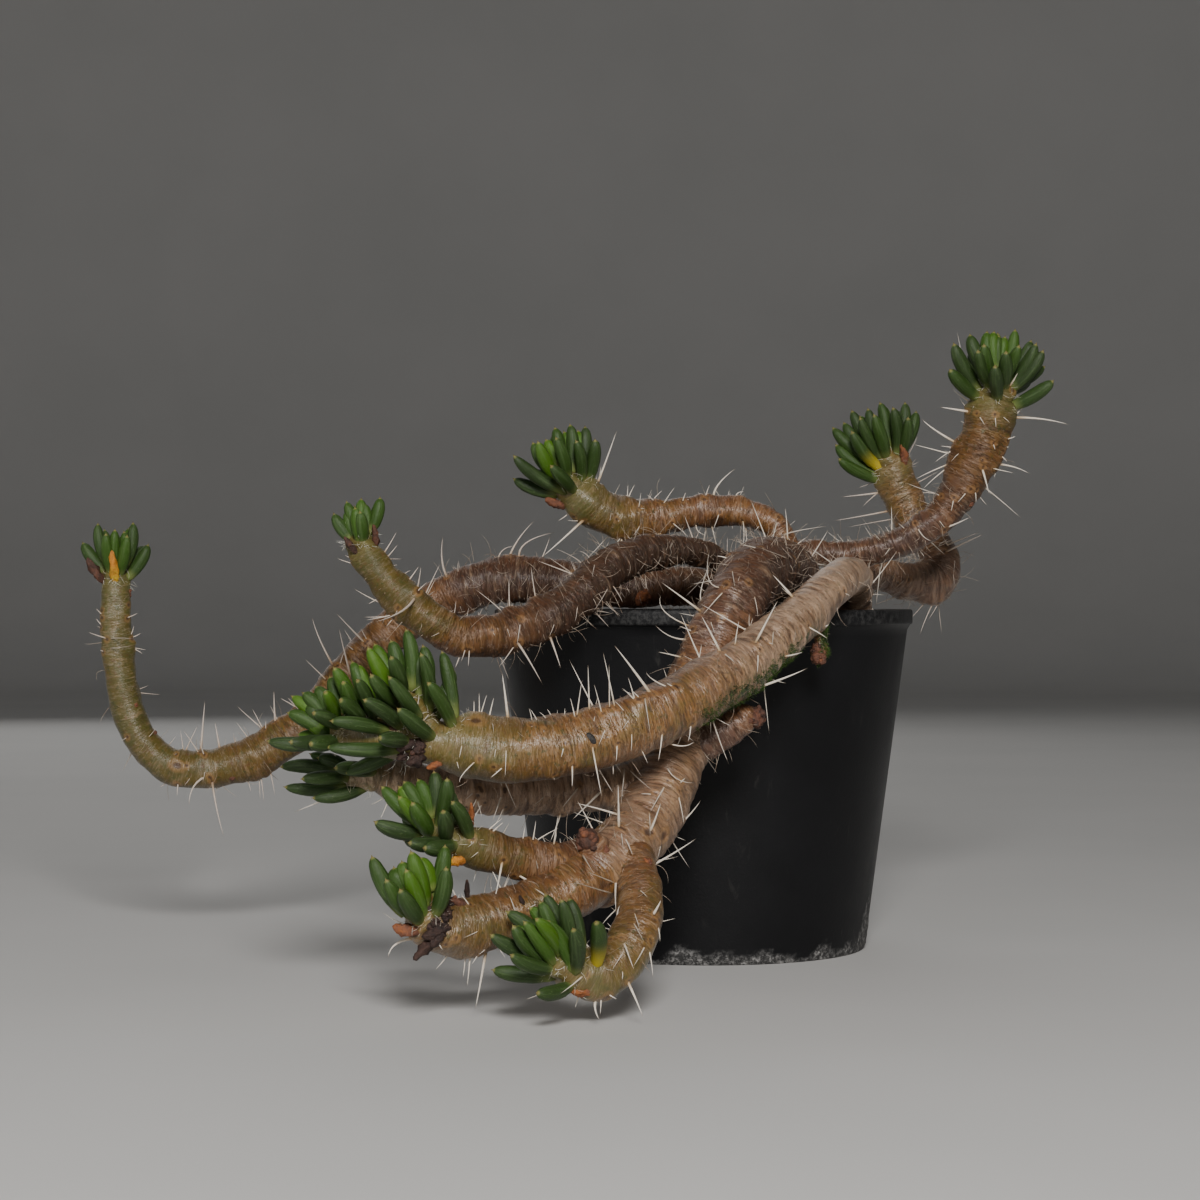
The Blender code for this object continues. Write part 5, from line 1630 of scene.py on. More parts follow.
def mark_height(kind, along, across):
    """How far a mark raises the skin at a distance along and across from it, and how dark and pale it is."""
    if kind == "leaf":
        share = math.exp(-(along / LEAF_FOOT_SIZE) ** 2 - (across / LEAF_FOOT_SIZE) ** 2)
        return LEAF_FOOT_HEIGHT * share, 0, share
    if kind == "scar":
        near = math.hypot(along / SCAR_STRETCH, across) / SCAR_WIDTH
        ring = math.exp(-(((near - SCAR_RING) / SCAR_RING_WIDTH) ** 2))
        return SCAR_HEIGHT * ring, math.exp(-near * near / DARK_SPREAD), 0
    height = TUBERCLE_HEIGHT * math.exp(-(along / TUBERCLE_LENGTH) ** 2 - (across / TUBERCLE_WIDTH) ** 2)
    near = math.hypot(along, across) / AREOLE_SIZE
    if near > AREOLE_REACH:
        return height, 0, 0
    return height - AREOLE_DEPTH * math.exp(-near * near), math.exp(-near * near / DARK_SPREAD), 0


def with_marks(height, marks, station, angle):
    """The skin's height with the marks near a place, and how dark and how pale they make it."""
    dark = 0
    pale = 0
    for distance, turned, kind in marks:
        across = ((angle - turned + math.pi) % (2 * math.pi) - math.pi) * station.radius
        rise, darker, paler = mark_height(kind, station.distance - distance, across)
        height += rise
        dark = max(dark, darker)
        pale = max(pale, paler)
    return height, dark, pale


def skin_height(radius, about, age, wool):
    """How far lumps, dimples and wrinkles raise the skin, and how much of a ridge it is there."""
    wrinkle_at = Vector((about.x * WRINKLE_ALONG, about.y * WRINKLE_AROUND, about.z * WRINKLE_AROUND))
    wrinkle = noise(wrinkle_at) + FINE_WRINKLE_SHARE * noise(wrinkle_at * FINE_WRINKLE_SCALE)
    dimple = noise(about * DIMPLE_SCALE)
    height = radius * LUMP_SHARE * noise(about * LUMP_SCALE) + DIMPLE_HEIGHT * dimple * (1 - wool)
    smoothed = 1 - WOOL_SMOOTHING * wool
    height += WRINKLE_HEIGHT * wrinkle * (YOUNG_WRINKLES + OLD_WRINKLES * age) * smoothed
    return height, RIDGE_MIDDLE + RIDGE_WRINKLES * wrinkle + RIDGE_DIMPLES * dimple


def root_shape(station, branches):
    """How far a branch's sunk root has rounded out, and how far the swelling of its joint has begun."""
    if not branches:
        return 1, 1
    sunk = min(station.distance / (ROOT_DOME * station.radius), ROOT_END)
    low, high = ROOT_SWELL
    swelling = ease((station.distance / station.radius - low) / (high - low))
    return max(math.sqrt(1 - (1 - sunk) ** 2), ROOT_LEAST), swelling


def orange_brown_and_shade_share(turn, out):
    """How orange-brown the skin is inside a bend and on a stem's top, and how much painted shade darkens its
    underside.
    """
    bent = ease(turn.dot(out) * BEND_BROWNING)
    above = TOP_BROWNING * ease((out.z - TOP_BROWNING_Z) / BROWNING_AND_SHADE_FADE)
    # Painted shade on the underside.
    below = UNDERSIDE_SHADE * ease((-out.z - UNDERSIDE_SHADE_Z) / BROWNING_AND_SHADE_FADE)
    return max(bent, above, below)


def add_skin(surface, limb, offset, marks, neighbours, branches):
    """Adds a limb's wrinkled skin to a surface, and returns its rings. A branch is round where it is sunk."""
    stations = fine_stations(limb)
    sides = max(SKIN_FEWEST_SIDES, round(2 * math.pi * max(s.radius for s in stations) / SKIN_SIDE))
    stem_end = stem_length(limb)
    start = SKIN_FIRST_SHARE * stem_end
    kept = [s for s in stations if branches or s.centre.z > SKIN_FIRST_HEIGHT or s.distance > start]
    crowned = {head["limb"] for head in HEADS.values()}
    rings = []
    outs = []
    first = []
    for i, s in enumerate(kept):
        share = min(s.distance / stem_end, 1)
        age = blend(AGES[limb], share)
        # The tone is partly the bark's own colour and partly painted light and shade.
        tone = blend(TONES_AND_PAINTED_LIGHT.get(limb, NO_TONE), share)
        wool = ease((s.distance - stem_end + WOOL_START) / WOOL_START) if limb in crowned else 0
        near = [mark for mark in marks if abs(mark[0] - s.distance) < MARK_REACH]
        turn = kept[min(i + BEND_STATIONS, len(kept) - 1)].along - kept[max(i - BEND_STATIONS, 0)].along
        turn = turn * (s.radius / (2 * BEND_STATIONS * SKIN_STEP))
        shrink, swelling = root_shape(s, branches)
        ring = []
        ring_outs = []
        values = {name: [] for name in ("orange_brown_and_shade", "areole", "moss", "ridge", "foot")}
        for k in range(sides):
            angle = 2 * math.pi * k / sides
            out = around(s, angle)
            sideways = math.cos(angle) * s.radius / MM
            about = Vector((s.distance / MM + offset, sideways, math.sin(angle) * s.radius / MM))
            height, ridge = skin_height(s.radius, about, age, wool)
            height, dark, pale = with_marks(height, near, s, angle)
            height *= min(s.radius / FULL_RELIEF_RADIUS, 1)
            point = s.centre + out * (s.radius + height) * shrink
            if neighbours:
                point += out * swell(point, neighbours) * swelling
            ring.append(point)
            ring_outs.append(out)
            found = (orange_brown_and_shade_share(turn, out), dark, moss_share(limb, s.centre, out), ridge, pale)
            for numbers, number in zip(values.values(), found):
                numbers.append(number)
            surface.skin.append(about)
        first.append(surface.add_ring(ring, age=age, tone=tone, wool=wool))
        for name, numbers in values.items():
            surface.values[name][first[-1]:] = numbers
        rings.append(ring)
        outs.append(ring_outs)
    surface.close(first, sides)
    return Skin(kept, rings, outs)


def small_areoles(limb, stations):
    """The areoles with only short spines, between those with a long one, as growths without a line."""
    spacing = SPINES[limb][0] * MM
    draw = random.Random(f"{SEED} small {limb}")
    made = []
    distance = spacing
    turn = 0
    while distance < stations[-1].distance:
        for i in range(1, SMALL_AREOLES + 1):
            share = i / (SMALL_AREOLES + 1)
            at = distance + spacing * (share + draw.uniform(-SMALL_JITTER, SMALL_JITTER))
            turned = draw.uniform(-SMALL_TURN_JITTER, SMALL_TURN_JITTER)
            angle = turn * GOLDEN_ANGLE + 2 * math.pi * share + turned
            if at < stations[-1].distance:
                place = station_at(stations, at)
                out = around(place, angle)
                if draw.random() < (SMALL_SHARE if out.y > SEEN_SIDE else SEEN_SMALL_SHARE):
                    made.append(Growth([], SPINE_RADIUS, place, out, 0))
        turn += 1
        distance += spacing
    return made


def at_depth(pixel, depth):
    """The place that a pixel of the photograph shows at a depth, which is its y."""
    camera = Vector(CAMERA_PLACE)
    ray = Vector(((pixel[0] - PHOTO_MIDDLE) / PHOTO_FOCAL, 1, (PHOTO_MIDDLE - pixel[1]) / PHOTO_FOCAL))
    return camera + ray * (depth - camera.y)


def carrier_at(stations, pixel):
    """The station that a pixel shows, and the pixel's place at the station's depth."""
    def reach(station):
        return (at_depth(pixel, station.centre.y) - station.centre).length / station.radius

    station = min(stations, key=reach)
    return station, at_depth(pixel, station.centre.y)


def seen_root(stations, pixel):
    """Where a pixel meets a stem's near side: the station, the direction out and the place on its skin."""
    station, place = carrier_at(stations, pixel)
    offset = place - station.centre
    offset -= station.along * offset.dot(station.along)
    share = offset.length / station.radius
    near = Vector((0, -1, 0))
    near -= station.along * near.dot(station.along)
    if share > LEAST_LENGTH:
        near -= offset * (near.dot(offset) / offset.length_squared)
    out = offset / station.radius
    if share < 1 and near.length > LEAST_LENGTH:
        out += near.normalized() * math.sqrt(1 - share * share)
    out.normalize()
    return station, out, station.centre + out * station.radius


def bent_line(start, middle, end, steps):
    """Points along a curve that passes a middle point halfway."""
    control = middle * 2 - (start + end) / 2
    line = []
    for i in range(steps + 1):
        u = i / steps
        line.append(start * (1 - u) ** 2 + control * (2 * u * (1 - u)) + end * u * u)
    return line


def seen_spine(stations, numbers):
    """A spine that is seen in the photograph, rooted in its stem."""
    pixels = list(zip(numbers[::2], numbers[1::2]))
    station, out, root = seen_root(stations, pixels[0])
    flat = at_depth(pixels[-1], root.y) - root
    lean = flat.length * out.y * SPINE_MAX_LEAN
    rise = flat.dot(out) + lean * out.y
    if rise < SPINE_LEAST_RISE * flat.length and abs(out.y) > SPINE_SIDE_ON:
        lean += (SPINE_LEAST_RISE * flat.length - rise) / out.y
    end = at_depth(pixels[-1], root.y + lean)
    middle = at_depth(pixels[1], root.y + lean / 2) if len(pixels) > 2 else (root + end) / 2
    line = bent_line(root - out * SPINE_SINK * MM, middle, end, SEEN_SPINE_STEPS)
    for share in SEEN_SHARES:
        shorter = [line[0] + (point - line[0]) * share for point in line]
        if all(clear_of_pot(point, 0) for point in shorter):
            break
    return Growth(shorter, 0, station, out, 0)


def seen_leaf(stations, root_pixel, tip_pixel, lean, radius, length, share, least=LEAF_LEAST_LEAN):
    """A leaf that is seen in the photograph, rooted in its core or its stem. One that leans towards the
    camera starts on the near side. Its length is at least a share of what is seen of it."""
    if lean < 0:
        station, out, place = seen_root(stations, root_pixel)
        root = place - out * LEAF_SINK
    else:
        station, place = carrier_at(stations, root_pixel)
        offset = place - station.centre
        if offset.length > LEAF_ROOT_REACH * station.radius:
            offset = offset.normalized() * (LEAF_ROOT_REACH * station.radius)
        root = station.centre + offset
    flat = (at_depth(tip_pixel, root.y) - root).length
    length = max(length, least * flat)
    depth = lean * min(math.sqrt(length * length - flat * flat), LEAF_MAX_LEAN * length)
    tip = at_depth(tip_pixel, root.y + depth)
    middle = (root + tip) / 2
    away = middle - station.centre
    away -= station.along * away.dot(station.along)
    if away.length > LEAST_LENGTH * MM:
        middle += away.normalized() * (LEAF_BOW * (tip - root).length)
        out = away.normalized()
    else:
        out = Vector((0, -1, 0))
    return Growth(bent_line(root, middle, tip, LEAF_SAMPLES - 1), radius, station, out, share)


def curved(start, heading, bow, length, steps):
    """Points along a gently bowed line."""
    line = []
    for i in range(steps + 1):
        line.append(start + heading * (length * i / steps) + bow * (length * (i / steps) ** 2))
    return line


def add_spine(surface, line, radius):
    """Adds a spine that tapers to a point from a slightly swollen foot."""
    count = len(line) - 1
    shares = [i / count for i in range(count + 1)]
    radii = [radius * (1.0 - share) ** SPINE_TAPER * (SPINE_FOOT if share == 0 else 1) for share in shares]
    radii[-1] = 0
    surface.sweep(line, radii, SPINE_SIDES, [{"along": share} for share in shares])


def free_spine(start, heading, bow, length, radius):
    """A spine's line if it keeps clear of the pot and the floor, or a shorter one that does."""
    for share in FREE_SHARES:
        line = curved(start, heading, bow, length * share, FREE_SPINE_STEPS)
        if all(clear_of_pot(point, radius) for point in line):
            return line
    return None


def add_spines(surface, limb, spines, small):
    """Adds each areole's spines: a long one with short ones where the part has one, or only short ones."""
    draw = random.Random(f"{SEED} fine {limb}")
    unseen = [spine for spine in spines if spine.out.y > SEEN_SIDE or limb not in SEEN_SPINES]
    for spine in unseen:
        whole = spine.line[-1] - spine.line[0]
        tangent = spine.place.along.cross(spine.out)
        sideways = tangent * draw.uniform(-BOW_SIDEWAYS, BOW_SIDEWAYS)
        bow = (sideways + spine.place.along * draw.uniform(-BOW_ALONG, BOW_ALONG)) * draw.random()
        line = free_spine(spine.line[0], whole.normalized(), bow, whole.length, SPINE_RADIUS)
        if line:
            add_spine(surface, line, draw.uniform(*LONG_SPINE_RADII) * MM)
        add_short_spines(surface, spine, draw, *BESIDE_LONG)
    for areole in small:
        add_short_spines(surface, areole, draw, *(SMALL_UNSEEN if areole.out.y > SEEN_SIDE else SMALL_SEEN))


def add_short_spines(surface, areole, draw, counts, lengths):
    """Adds an areole's short spines, spread to its sides and some of them pressed to the stem."""
    place = areole.place
    tangent = place.along.cross(areole.out)
    root = place.centre + areole.out * (place.radius - SHORT_SPINE_SINK)
    for i in range(draw.randint(*counts)):
        sideways = (1 if i % 2 else -1) * draw.uniform(*SHORT_SIDEWAYS)
        back = draw.uniform(*SHORT_ALONG)
        heading = areole.out * draw.uniform(*SHORT_OUT) + tangent * sideways + place.along * back
        bow = areole.out * draw.uniform(-SHORT_BOW, SHORT_BOW)
        length = draw.uniform(*lengths) * MM
        line = free_spine(root, heading.normalized(), bow, length, SHORT_SPINE_CLEARANCE)
        if line:
            add_spine(surface, line, draw.uniform(*SHORT_SPINE_RADII) * MM)


def any_way(draw):
    """A vector drawn from a cube about the origin."""
    return Vector((draw.uniform(-1, 1), draw.uniform(-1, 1), draw.uniform(-1, 1)))


def add_fibre(surface, start, heading, length, radius, curl, draw, steps):
    """Adds a hair that curls as it goes."""
    centre = start.copy()
    points = [centre.copy()]
    turn = any_way(draw)
    for _ in range(steps):
        heading = (heading + turn * (curl / steps)).normalized()
        centre = centre + heading * (length / steps)
        if not clear_of_pot(centre, radius):
            return
        points.append(centre)
    radii = [radius * (1 - HAIR_TAPER * i / steps) for i in range(steps)] + [0]
    surface.sweep(points, radii, HAIR_SIDES, [{}] * (steps + 1))


def add_fuzz(surface, limb, skin, draw):
    """Adds short hairs all over the old parts of a limb, and long loose ones here and there."""
    stem_end = stem_length(limb)
    for station, ring, outs in zip(skin.stations, skin.rings, skin.outs):
        if station.distance > stem_end:
            break
        old = ease((blend(AGES[limb], station.distance / stem_end) - FUZZ_AGE) / FUZZ_AGE_SPAN)
        tangent_step = 2 * math.pi / len(ring)
        wanted = old * FUZZ_PER_RING + LOOSE_PER_RING
        while wanted > draw.random():
            wanted -= 1
            k = draw.randrange(len(ring))
            out = outs[k]
            tangent = station.along.cross(out)
            long = draw.random() < LONG_FUZZ_SHARE
            lengths, radius, spread, curl, steps = LONG_HAIR if long else SHORT_HAIR
            lean = tangent * draw.uniform(-1, 1) * spread
            heading = out * draw.uniform(*HAIR_OUT) + lean + station.along * draw.uniform(*HAIR_ALONG)
            length = draw.uniform(*lengths) * MM
            along_skin = tangent * (tangent_step * draw.uniform(0, station.radius))
            start = ring[k] - out * HAIR_SINK * MM + along_skin
            add_fibre(surface, start, heading.normalized(), length, radius * MM, curl, draw, steps)


def carriers():
    """Each limb's fine stations, with those of its head's cores."""
    made = {limb: fine_stations(limb) for limb in LIMBS}
    for head in HEADS.values():
        for core in side_cores(head):
            made[head["limb"]] = made[head["limb"]] + core
    return made


def side_cores(head):
    """The fine stations of the cores that branch off a head's first one."""
    cores = []
    for _, route in head["cores"][1:]:
        stations = stations_along(route, SKIN_STEP)
        cores.append(with_tip([(s.centre.to_4d(), s.radius * CORE_SLIMNESS, s.distance) for s in stations]))
    return cores


def add_side_core(surface, stations):
    """Adds the woolly skin of a core that branches off."""
    sides = SKIN_FEWEST_SIDES
    rings = []
    for s in stations:
        ring = []
        for k in range(sides):
            out = around(s, 2 * math.pi * k / sides)
            about = Vector((s.distance / MM, out.dot(s.side) * s.radius / MM, out.dot(s.up) * s.radius / MM))
            ring.append(s.centre + out * (s.radius * (1 + LUMP_SHARE * noise(about * DIMPLE_SCALE))))
            surface.skin.append(about)
        rings.append(surface.add_ring(ring, **SIDE_CORE_SKIN))
    surface.close(rings, sides)


def skin_marks(limb, leaves, spines, carried, small, grown):
    """The marks on a limb's skin: its areoles, its leaves' feet and its scars."""
    stations = fine_stations(limb)
    rooted = small + [spine for size in grown if size != "fine" for spine in grown[size]]
    rooted += [spine for spine in spines[limb] if spine.out.y > SEEN_SIDE or not grown]
    marks = marks_of(stations, rooted, "areole")
    marks += marks_of(stations, leaves.get(limb, []), "leaf")
    for scar in SCARS.get(limb, []):
        station, out, _ = seen_root(carried[limb], scar)
        marks += marks_of(stations, [Growth([], 0, station, out, 0)], "scar")
    return marks


def make_stems(limbs, leaves, spines, carried):
    """Each stem's skin, spines and hairs, in place of its node."""
    bark = bark_look()
    spine_looks = {kind: spine_look(*look) for kind, look in SPINE_LOOKS.items()}
    fuzz_look = hair_look("fuzz", *FUZZ_COLOURS)
    skins = {}
    for name, stem in STEMS.items():
        surface = Surface("age", "tone", "orange_brown_and_shade", "areole", "moss", "wool", "ridge", "foot")
        needles = Surface("along")
        hairs = Surface()
        trees = {}
        if len(stem["limbs"]) > 1:
            for limb in stem["limbs"]:
                stations = fine_stations(limb)
                trees[limb] = (tree_of(stations), stations)
        draw = random.Random(f"{SEED} fuzz {name}")
        for i, limb in enumerate(stem["limbs"]):
            small = small_areoles(limb, limbs[limb]) if limb in SPINES else []
            seen = SEEN_SPINES.get(limb, {})
            grown = {size: [seen_spine(carried[limb], numbers) for numbers in seen[size]] for size in seen}
            marks = skin_marks(limb, leaves, spines, carried, small, grown)
            neighbours = [tree for other, tree in trees.items() if other != limb]
            skins[limb] = add_skin(surface, limb, SKIN_OFFSET * i, marks, neighbours, i > 0)
            add_spines(needles, limb, spines[limb], small)
            for size, seen_ones in grown.items():
                for spine in seen_ones:
                    add_spine(needles, spine.line, THICKNESSES[size] * draw.uniform(*THICKNESS_JITTER))
            add_fuzz(hairs, limb, skins[limb], draw)
            for head in HEADS.values():
                if head["limb"] == limb:
                    for core in side_cores(head):
                        add_side_core(surface, core)
        surface.make(name + "_skin", bark, name)
        needles.make(name + "_spines", spine_looks[stem["spines"]], name)
        hairs.make(name + "_hairs", fuzz_look, name)
    return skins


def ball_radii(radius, steps):
    """The radii of a tube that is rounded like a ball, at even steps along it."""
    half = steps / 2
    return [radius * math.sqrt(max(1 - (i / half - 1) ** 2, BALL_END)) for i in range(steps + 1)]


def on_tube(step, angle, offset, along, across):
    """Where a tube's noise is read, by its ring and the angle, at a scale along the tube and one across."""
    return Vector((step * along + offset, across * math.cos(angle), across * math.sin(angle)))


def add_lump(surface, middle, radius, tone, draw):
    """Adds a knobbly lump: a body with small bumps all over it."""
    for i in range(LUMP_BUMPS + 1):
        out = any_way(draw).normalized()
        centre = middle + out * (radius * draw.uniform(*LUMP_REACHES)) if i else middle
        size = radius * draw.uniform(*LUMP_SIZES) if i else radius * LUMP_BODY
        tangent = out.orthogonal().normalized()
        line = [centre + tangent * (size * (2 * step / LUMP_STEPS - 1)) for step in range(LUMP_STEPS + 1)]
        values = [{"tone": tone + draw.uniform(*LUMP_TONES)}] * (LUMP_STEPS + 1)
        offset = draw.uniform(*TUBE_OFFSETS)

        def outline(step, side, up, angle, offset=offset):
            return 1 + LUMP_UNEVENNESS * noise(on_tube(step, angle, offset, *LUMP_NOISE))

        surface.sweep(line, ball_radii(size, LUMP_STEPS), LUMP_SIDES, values, outline)


def make_details(carried, skins):
    """The dried leaves, the buds and lumps, the seed and the moss, on what carries them."""
    draw = random.Random(f"{SEED} details")
    make_dried(carried, draw)
    make_seed(carried)
    make_moss(skins, draw)


def make_dried(carried, draw):
    """Each stem's dried leaves, buds and lumps."""
    look = dried_look()
    for name, stem in STEMS.items():
        surface = Surface("tone")
        for limb in stem["limbs"]:
            for x, y, tip_x, tip_y, radius, low, high in SEEN_DRIED.get(limb, []):
                leaf = seen_leaf(carried[limb], (x, y), (tip_x, tip_y), -1, radius * MM, 0, 0, DRIED_LEAN)
                add_dried(surface, leaf, low, high, draw)
            for other, pixel, radius, tone in SEEN_LUMPS:
                if other == limb:
                    _, out, place = seen_root(carried[limb], pixel)
                    add_lump(surface, place - out * LUMP_SINK * radius * MM, radius * MM, tone, draw)
        if surface.points:
            surface.make(name + "_dried", look, name)


def make_seed(carried):
    """The dark seed that is stuck to the front stem."""
    seed = Surface("tone")
    ends = [seen_root(carried["front"], pixel)[2] for pixel in SEED_ENDS]
    line = [ends[0].lerp(ends[1], i / SEED_STEPS) for i in range(SEED_STEPS + 1)]
    seed.sweep(line, ball_radii(SEED_RADIUS, SEED_STEPS), SEED_SIDES, [{"tone": 0}] * (SEED_STEPS + 1))
    seed.make("seed", plain_look(*SEED_LOOK), "stem_front")


def make_moss(skins, draw):
    """Tufts of moss under the front stem and on its dry bud."""
    moss = Surface()
    tufts = 0
    rings = [(limb, *ring) for limb in MOSSY_LIMBS for ring in zip(skins[limb].rings, skins[limb].outs)]
    for _ in range(MOSS_TRIES * MOSS_TUFTS):
        limb, points, outs = rings[draw.randrange(len(rings))]
        k = draw.randrange(len(points))
        place, out = points[k], outs[k]
        mossy = moss_share(limb, place, out) * (MOSS_LEAST + noise(place / MM * MOSS_SCALE))
        if mossy < draw.uniform(*MOSS_CHANCES):
            continue
        heading = (out + any_way(draw) * MOSS_LEAN).normalized()
        start = place - out * HAIR_SINK * MM
        length = draw.uniform(*MOSS_LENGTHS)
        add_fibre(moss, start, heading, length, MOSS_RADIUS, MOSS_CURL, draw, MOSS_STEPS)
        tufts += 1
        if tufts == MOSS_TUFTS:
            break
    moss.make("moss", hair_look("moss", *MOSS_COLOURS), "stem_front")


def add_dried(surface, leaf, low, high, draw):
    """Adds a shrivelled leaf."""
    shares = [i / DRIED_STEPS for i in range(DRIED_STEPS + 1)]
    centres = [leaf_centre(leaf, u) for u in shares]
    end, middle = DRIED_WIDTHS
    radii = [leaf.radius * (end + middle * math.sin(math.pi * u**DRIED_EASE)) for u in shares[:-1]] + [0]
    values = [{"tone": low + (high - low) * i / DRIED_STEPS} for i in range(DRIED_STEPS + 1)]
    offset = draw.uniform(*TUBE_OFFSETS)

    def outline(i, side, up, angle):
        at = on_tube(i, angle, offset, *DRIED_NOISE)
        return 1 + DRIED_UNEVENNESS * noise(at) + DRIED_FINE_UNEVENNESS * noise(at * DRIED_FINE_SCALE)

    surface.sweep(centres, radii, DRIED_SIDES, values, outline)


def leaf_centre(leaf, u):
    """The place at a share of a leaf's length, on the same curve as its line."""
    root = leaf.line[0]
    whole = leaf.line[-1] - root
    half = leaf.line[LEAF_SAMPLES // 2] - root
    at = (LEAF_SAMPLES // 2) / (LEAF_SAMPLES - 1)
    bend = (whole * at - half) / (at - at * at)
    return root + (whole - bend) * u + bend * (u * u)


def add_leaf(surface, leaf, inner, vary, yellow, draw):
    """Adds a plump leaf with a blunt, pointed tip, slightly flattened on the side that faces its core."""
    shares = [1 - (1 - i / (LEAF_RING_COUNT - 1)) ** LEAF_RING_EASE for i in range(LEAF_RING_COUNT)]
    width = leaf.radius * LEAF_SLIMNESS * draw.uniform(*LEAF_WIDTHS)
    length = (leaf.line[-1] - leaf.line[0]).length
    centres = [leaf_centre(leaf, u) for u in shares]
    radii = [width * blend(LEAF_PROFILE, u) for u in shares]
    centres.append(centres[-1] + (centres[-1] - centres[-2]).normalized() * LEAF_POINT * MM)
    radii.append(0)
    values = [{"along": u, "inner": inner, "vary": vary} for u in shares]
    for value in values:
        value["yellow"] = yellow * (1 - ease(value["along"] / YELLOW_SHARE))
    values.append(values[-1])
    offset = draw.uniform(*LEAF_OFFSETS)
    flat = leaf.place.along

    def outline(i, side, up, angle):
        out = side * math.cos(angle) + up * math.sin(angle)
        first = shares[i] * length / MM * LEAF_UNEVEN_ALONG + offset
        about = Vector((first, out.x * LEAF_UNEVEN_ACROSS, out.y * LEAF_UNEVEN_ACROSS))
        along = about.x / LEAF_UNEVEN_ALONG
        skin = (along, out.dot(side) * leaf.radius / MM, out.dot(up) * leaf.radius / MM)
        surface.skin.append(Vector(skin))
        return 1 + LEAF_UNEVENNESS * noise(about) - LEAF_FLATNESS * max(0, out.dot(flat)) ** 2

    surface.sweep(centres, radii, LEAF_SIDES, values, outline)
    surface.skin.append(Vector((offset, 0, 0)))


def add_wool(surface, leaf, draw):
    """Adds the white hairs at a leaf's foot."""
    tangent = leaf.place.along.cross(leaf.out)
    for _ in range(WOOL_PER_LEAF):
        spread = tangent * draw.uniform(-1, 1) + leaf.place.along * draw.uniform(*WOOL_ALONG)
        foot = leaf.place.centre + leaf.out * leaf.place.radius * WOOL_ROOT
        start = foot + spread * leaf.radius * WOOL_SPREAD
        heading = (leaf.out + spread * WOOL_LEAN).normalized()
        length = draw.uniform(*WOOL_LENGTHS) * MM
        add_fibre(surface, start, heading, length, WOOL_RADIUS, WOOL_CURL, draw, WOOL_STEPS)


def head_leaves(grown, carried):
    """Each head's leaves: those that the photograph shows, and behind them the ones that the part has."""
    made = {}
    for name, head in HEADS.items():
        stem_end = stem_length(head["limb"])
        first = len(fine_stations(head["limb"]))
        near = [s for s in carried[head["limb"]][:first] if s.distance > stem_end - LEAFY_END]
        near += carried[head["limb"]][first:]
        length = max(head["length"]) * MM
        made[name] = [
            seen_leaf(near, (x, y), (tip_x, tip_y), lean, head["radius"] * MM, length, young)
            for x, y, tip_x, tip_y, lean, young in SEEN_LEAVES[name]
        ]
        for leaf in grown[name]:
            root = leaf.line[0]
            if leaf.line[-1].y > root.y:
                line = [root + (point - root) * BACK_LEAF_LENGTH for point in leaf.line]
                made[name].append(leaf._replace(line=line))
    return made


def make_heads(leaves):
    """Each head's leaves and the wool at their feet, in place of its node."""
    green = leaf_look()
    wool_look = hair_look("wool", *WOOL_COLOURS)
    for name in HEADS:
        draw = random.Random(f"{SEED} looks {name}")
        surface = Surface("along", "inner", "vary", "yellow")
        wool = Surface()
        for i, leaf in enumerate(leaves[name]):
            yellow = YELLOWNESS if i == YELLOW_LEAVES.get(name) else 0
            add_leaf(surface, leaf, leaf.share, draw.random(), yellow, draw)
            add_wool(wool, leaf, draw)
        surface.make(name + "_green", green, name)
        wool.make(name + "_wool", wool_look, name)


def arc(centre, radius, start, end, steps):
    """Points of (radius, height) on a quarter round, by its start and end angle in degrees."""
    made = []
    for i in range(steps + 1):
        angle = math.radians(start + (end - start) * i / steps)
        made.append((centre[0] + radius * math.cos(angle), centre[1] + radius * math.sin(angle)))
    return made


def pot_profile():
    """The pot's outline from the middle of its underside, up its outside and down its inside."""
    wall_top = POT_HEIGHT - BAND_HEIGHT
    profile = [(0, 0)]
    profile += arc((POT_BASE_RADIUS - EDGE, EDGE), EDGE, -90, 0, EDGE_STEPS)
    profile += [
        (wall_radius(wall_top * i / WALL_STEPS), wall_top * i / WALL_STEPS) for i in range(1, WALL_STEPS)
    ]
    profile += arc((BAND_RADIUS - EDGE, wall_top + EDGE), EDGE, -90, 0, EDGE_STEPS)
    profile += arc((BAND_RADIUS - EDGE, POT_HEIGHT - EDGE), EDGE, 0, 90, EDGE_STEPS)
    lip = BAND_RADIUS - BAND_TOP_WIDTH
    profile += arc((lip + EDGE, POT_HEIGHT - EDGE), EDGE, 90, 180, EDGE_STEPS)
    profile += [
        (POT_WALL_TOP_RADIUS - POT_WALL, wall_top),
        (wall_radius(POT_FLOOR + EDGE) - POT_WALL, POT_FLOOR + EDGE),
        (wall_radius(POT_FLOOR) - POT_WALL - EDGE, POT_FLOOR),
        (0, POT_FLOOR),
    ]
    return profile


def crust_share(x, y, z):
    """How thick the mineral crust is at a place on the pot's outside. It climbs higher on the right."""
    side = math.atan2(x, -y)
    patch = noise(Vector((x, y, z)) * CRUST_SCALE)
    climb = CRUST_CLIMB * math.exp(-(((side - CRUST_SIDE) / CRUST_SIDE_WIDTH) ** 2))
    top = CRUST_HEIGHT * (CRUST_LEAST + CRUST_PATCHES * patch + climb)
    return ease((top - z) / CRUST_FADE)


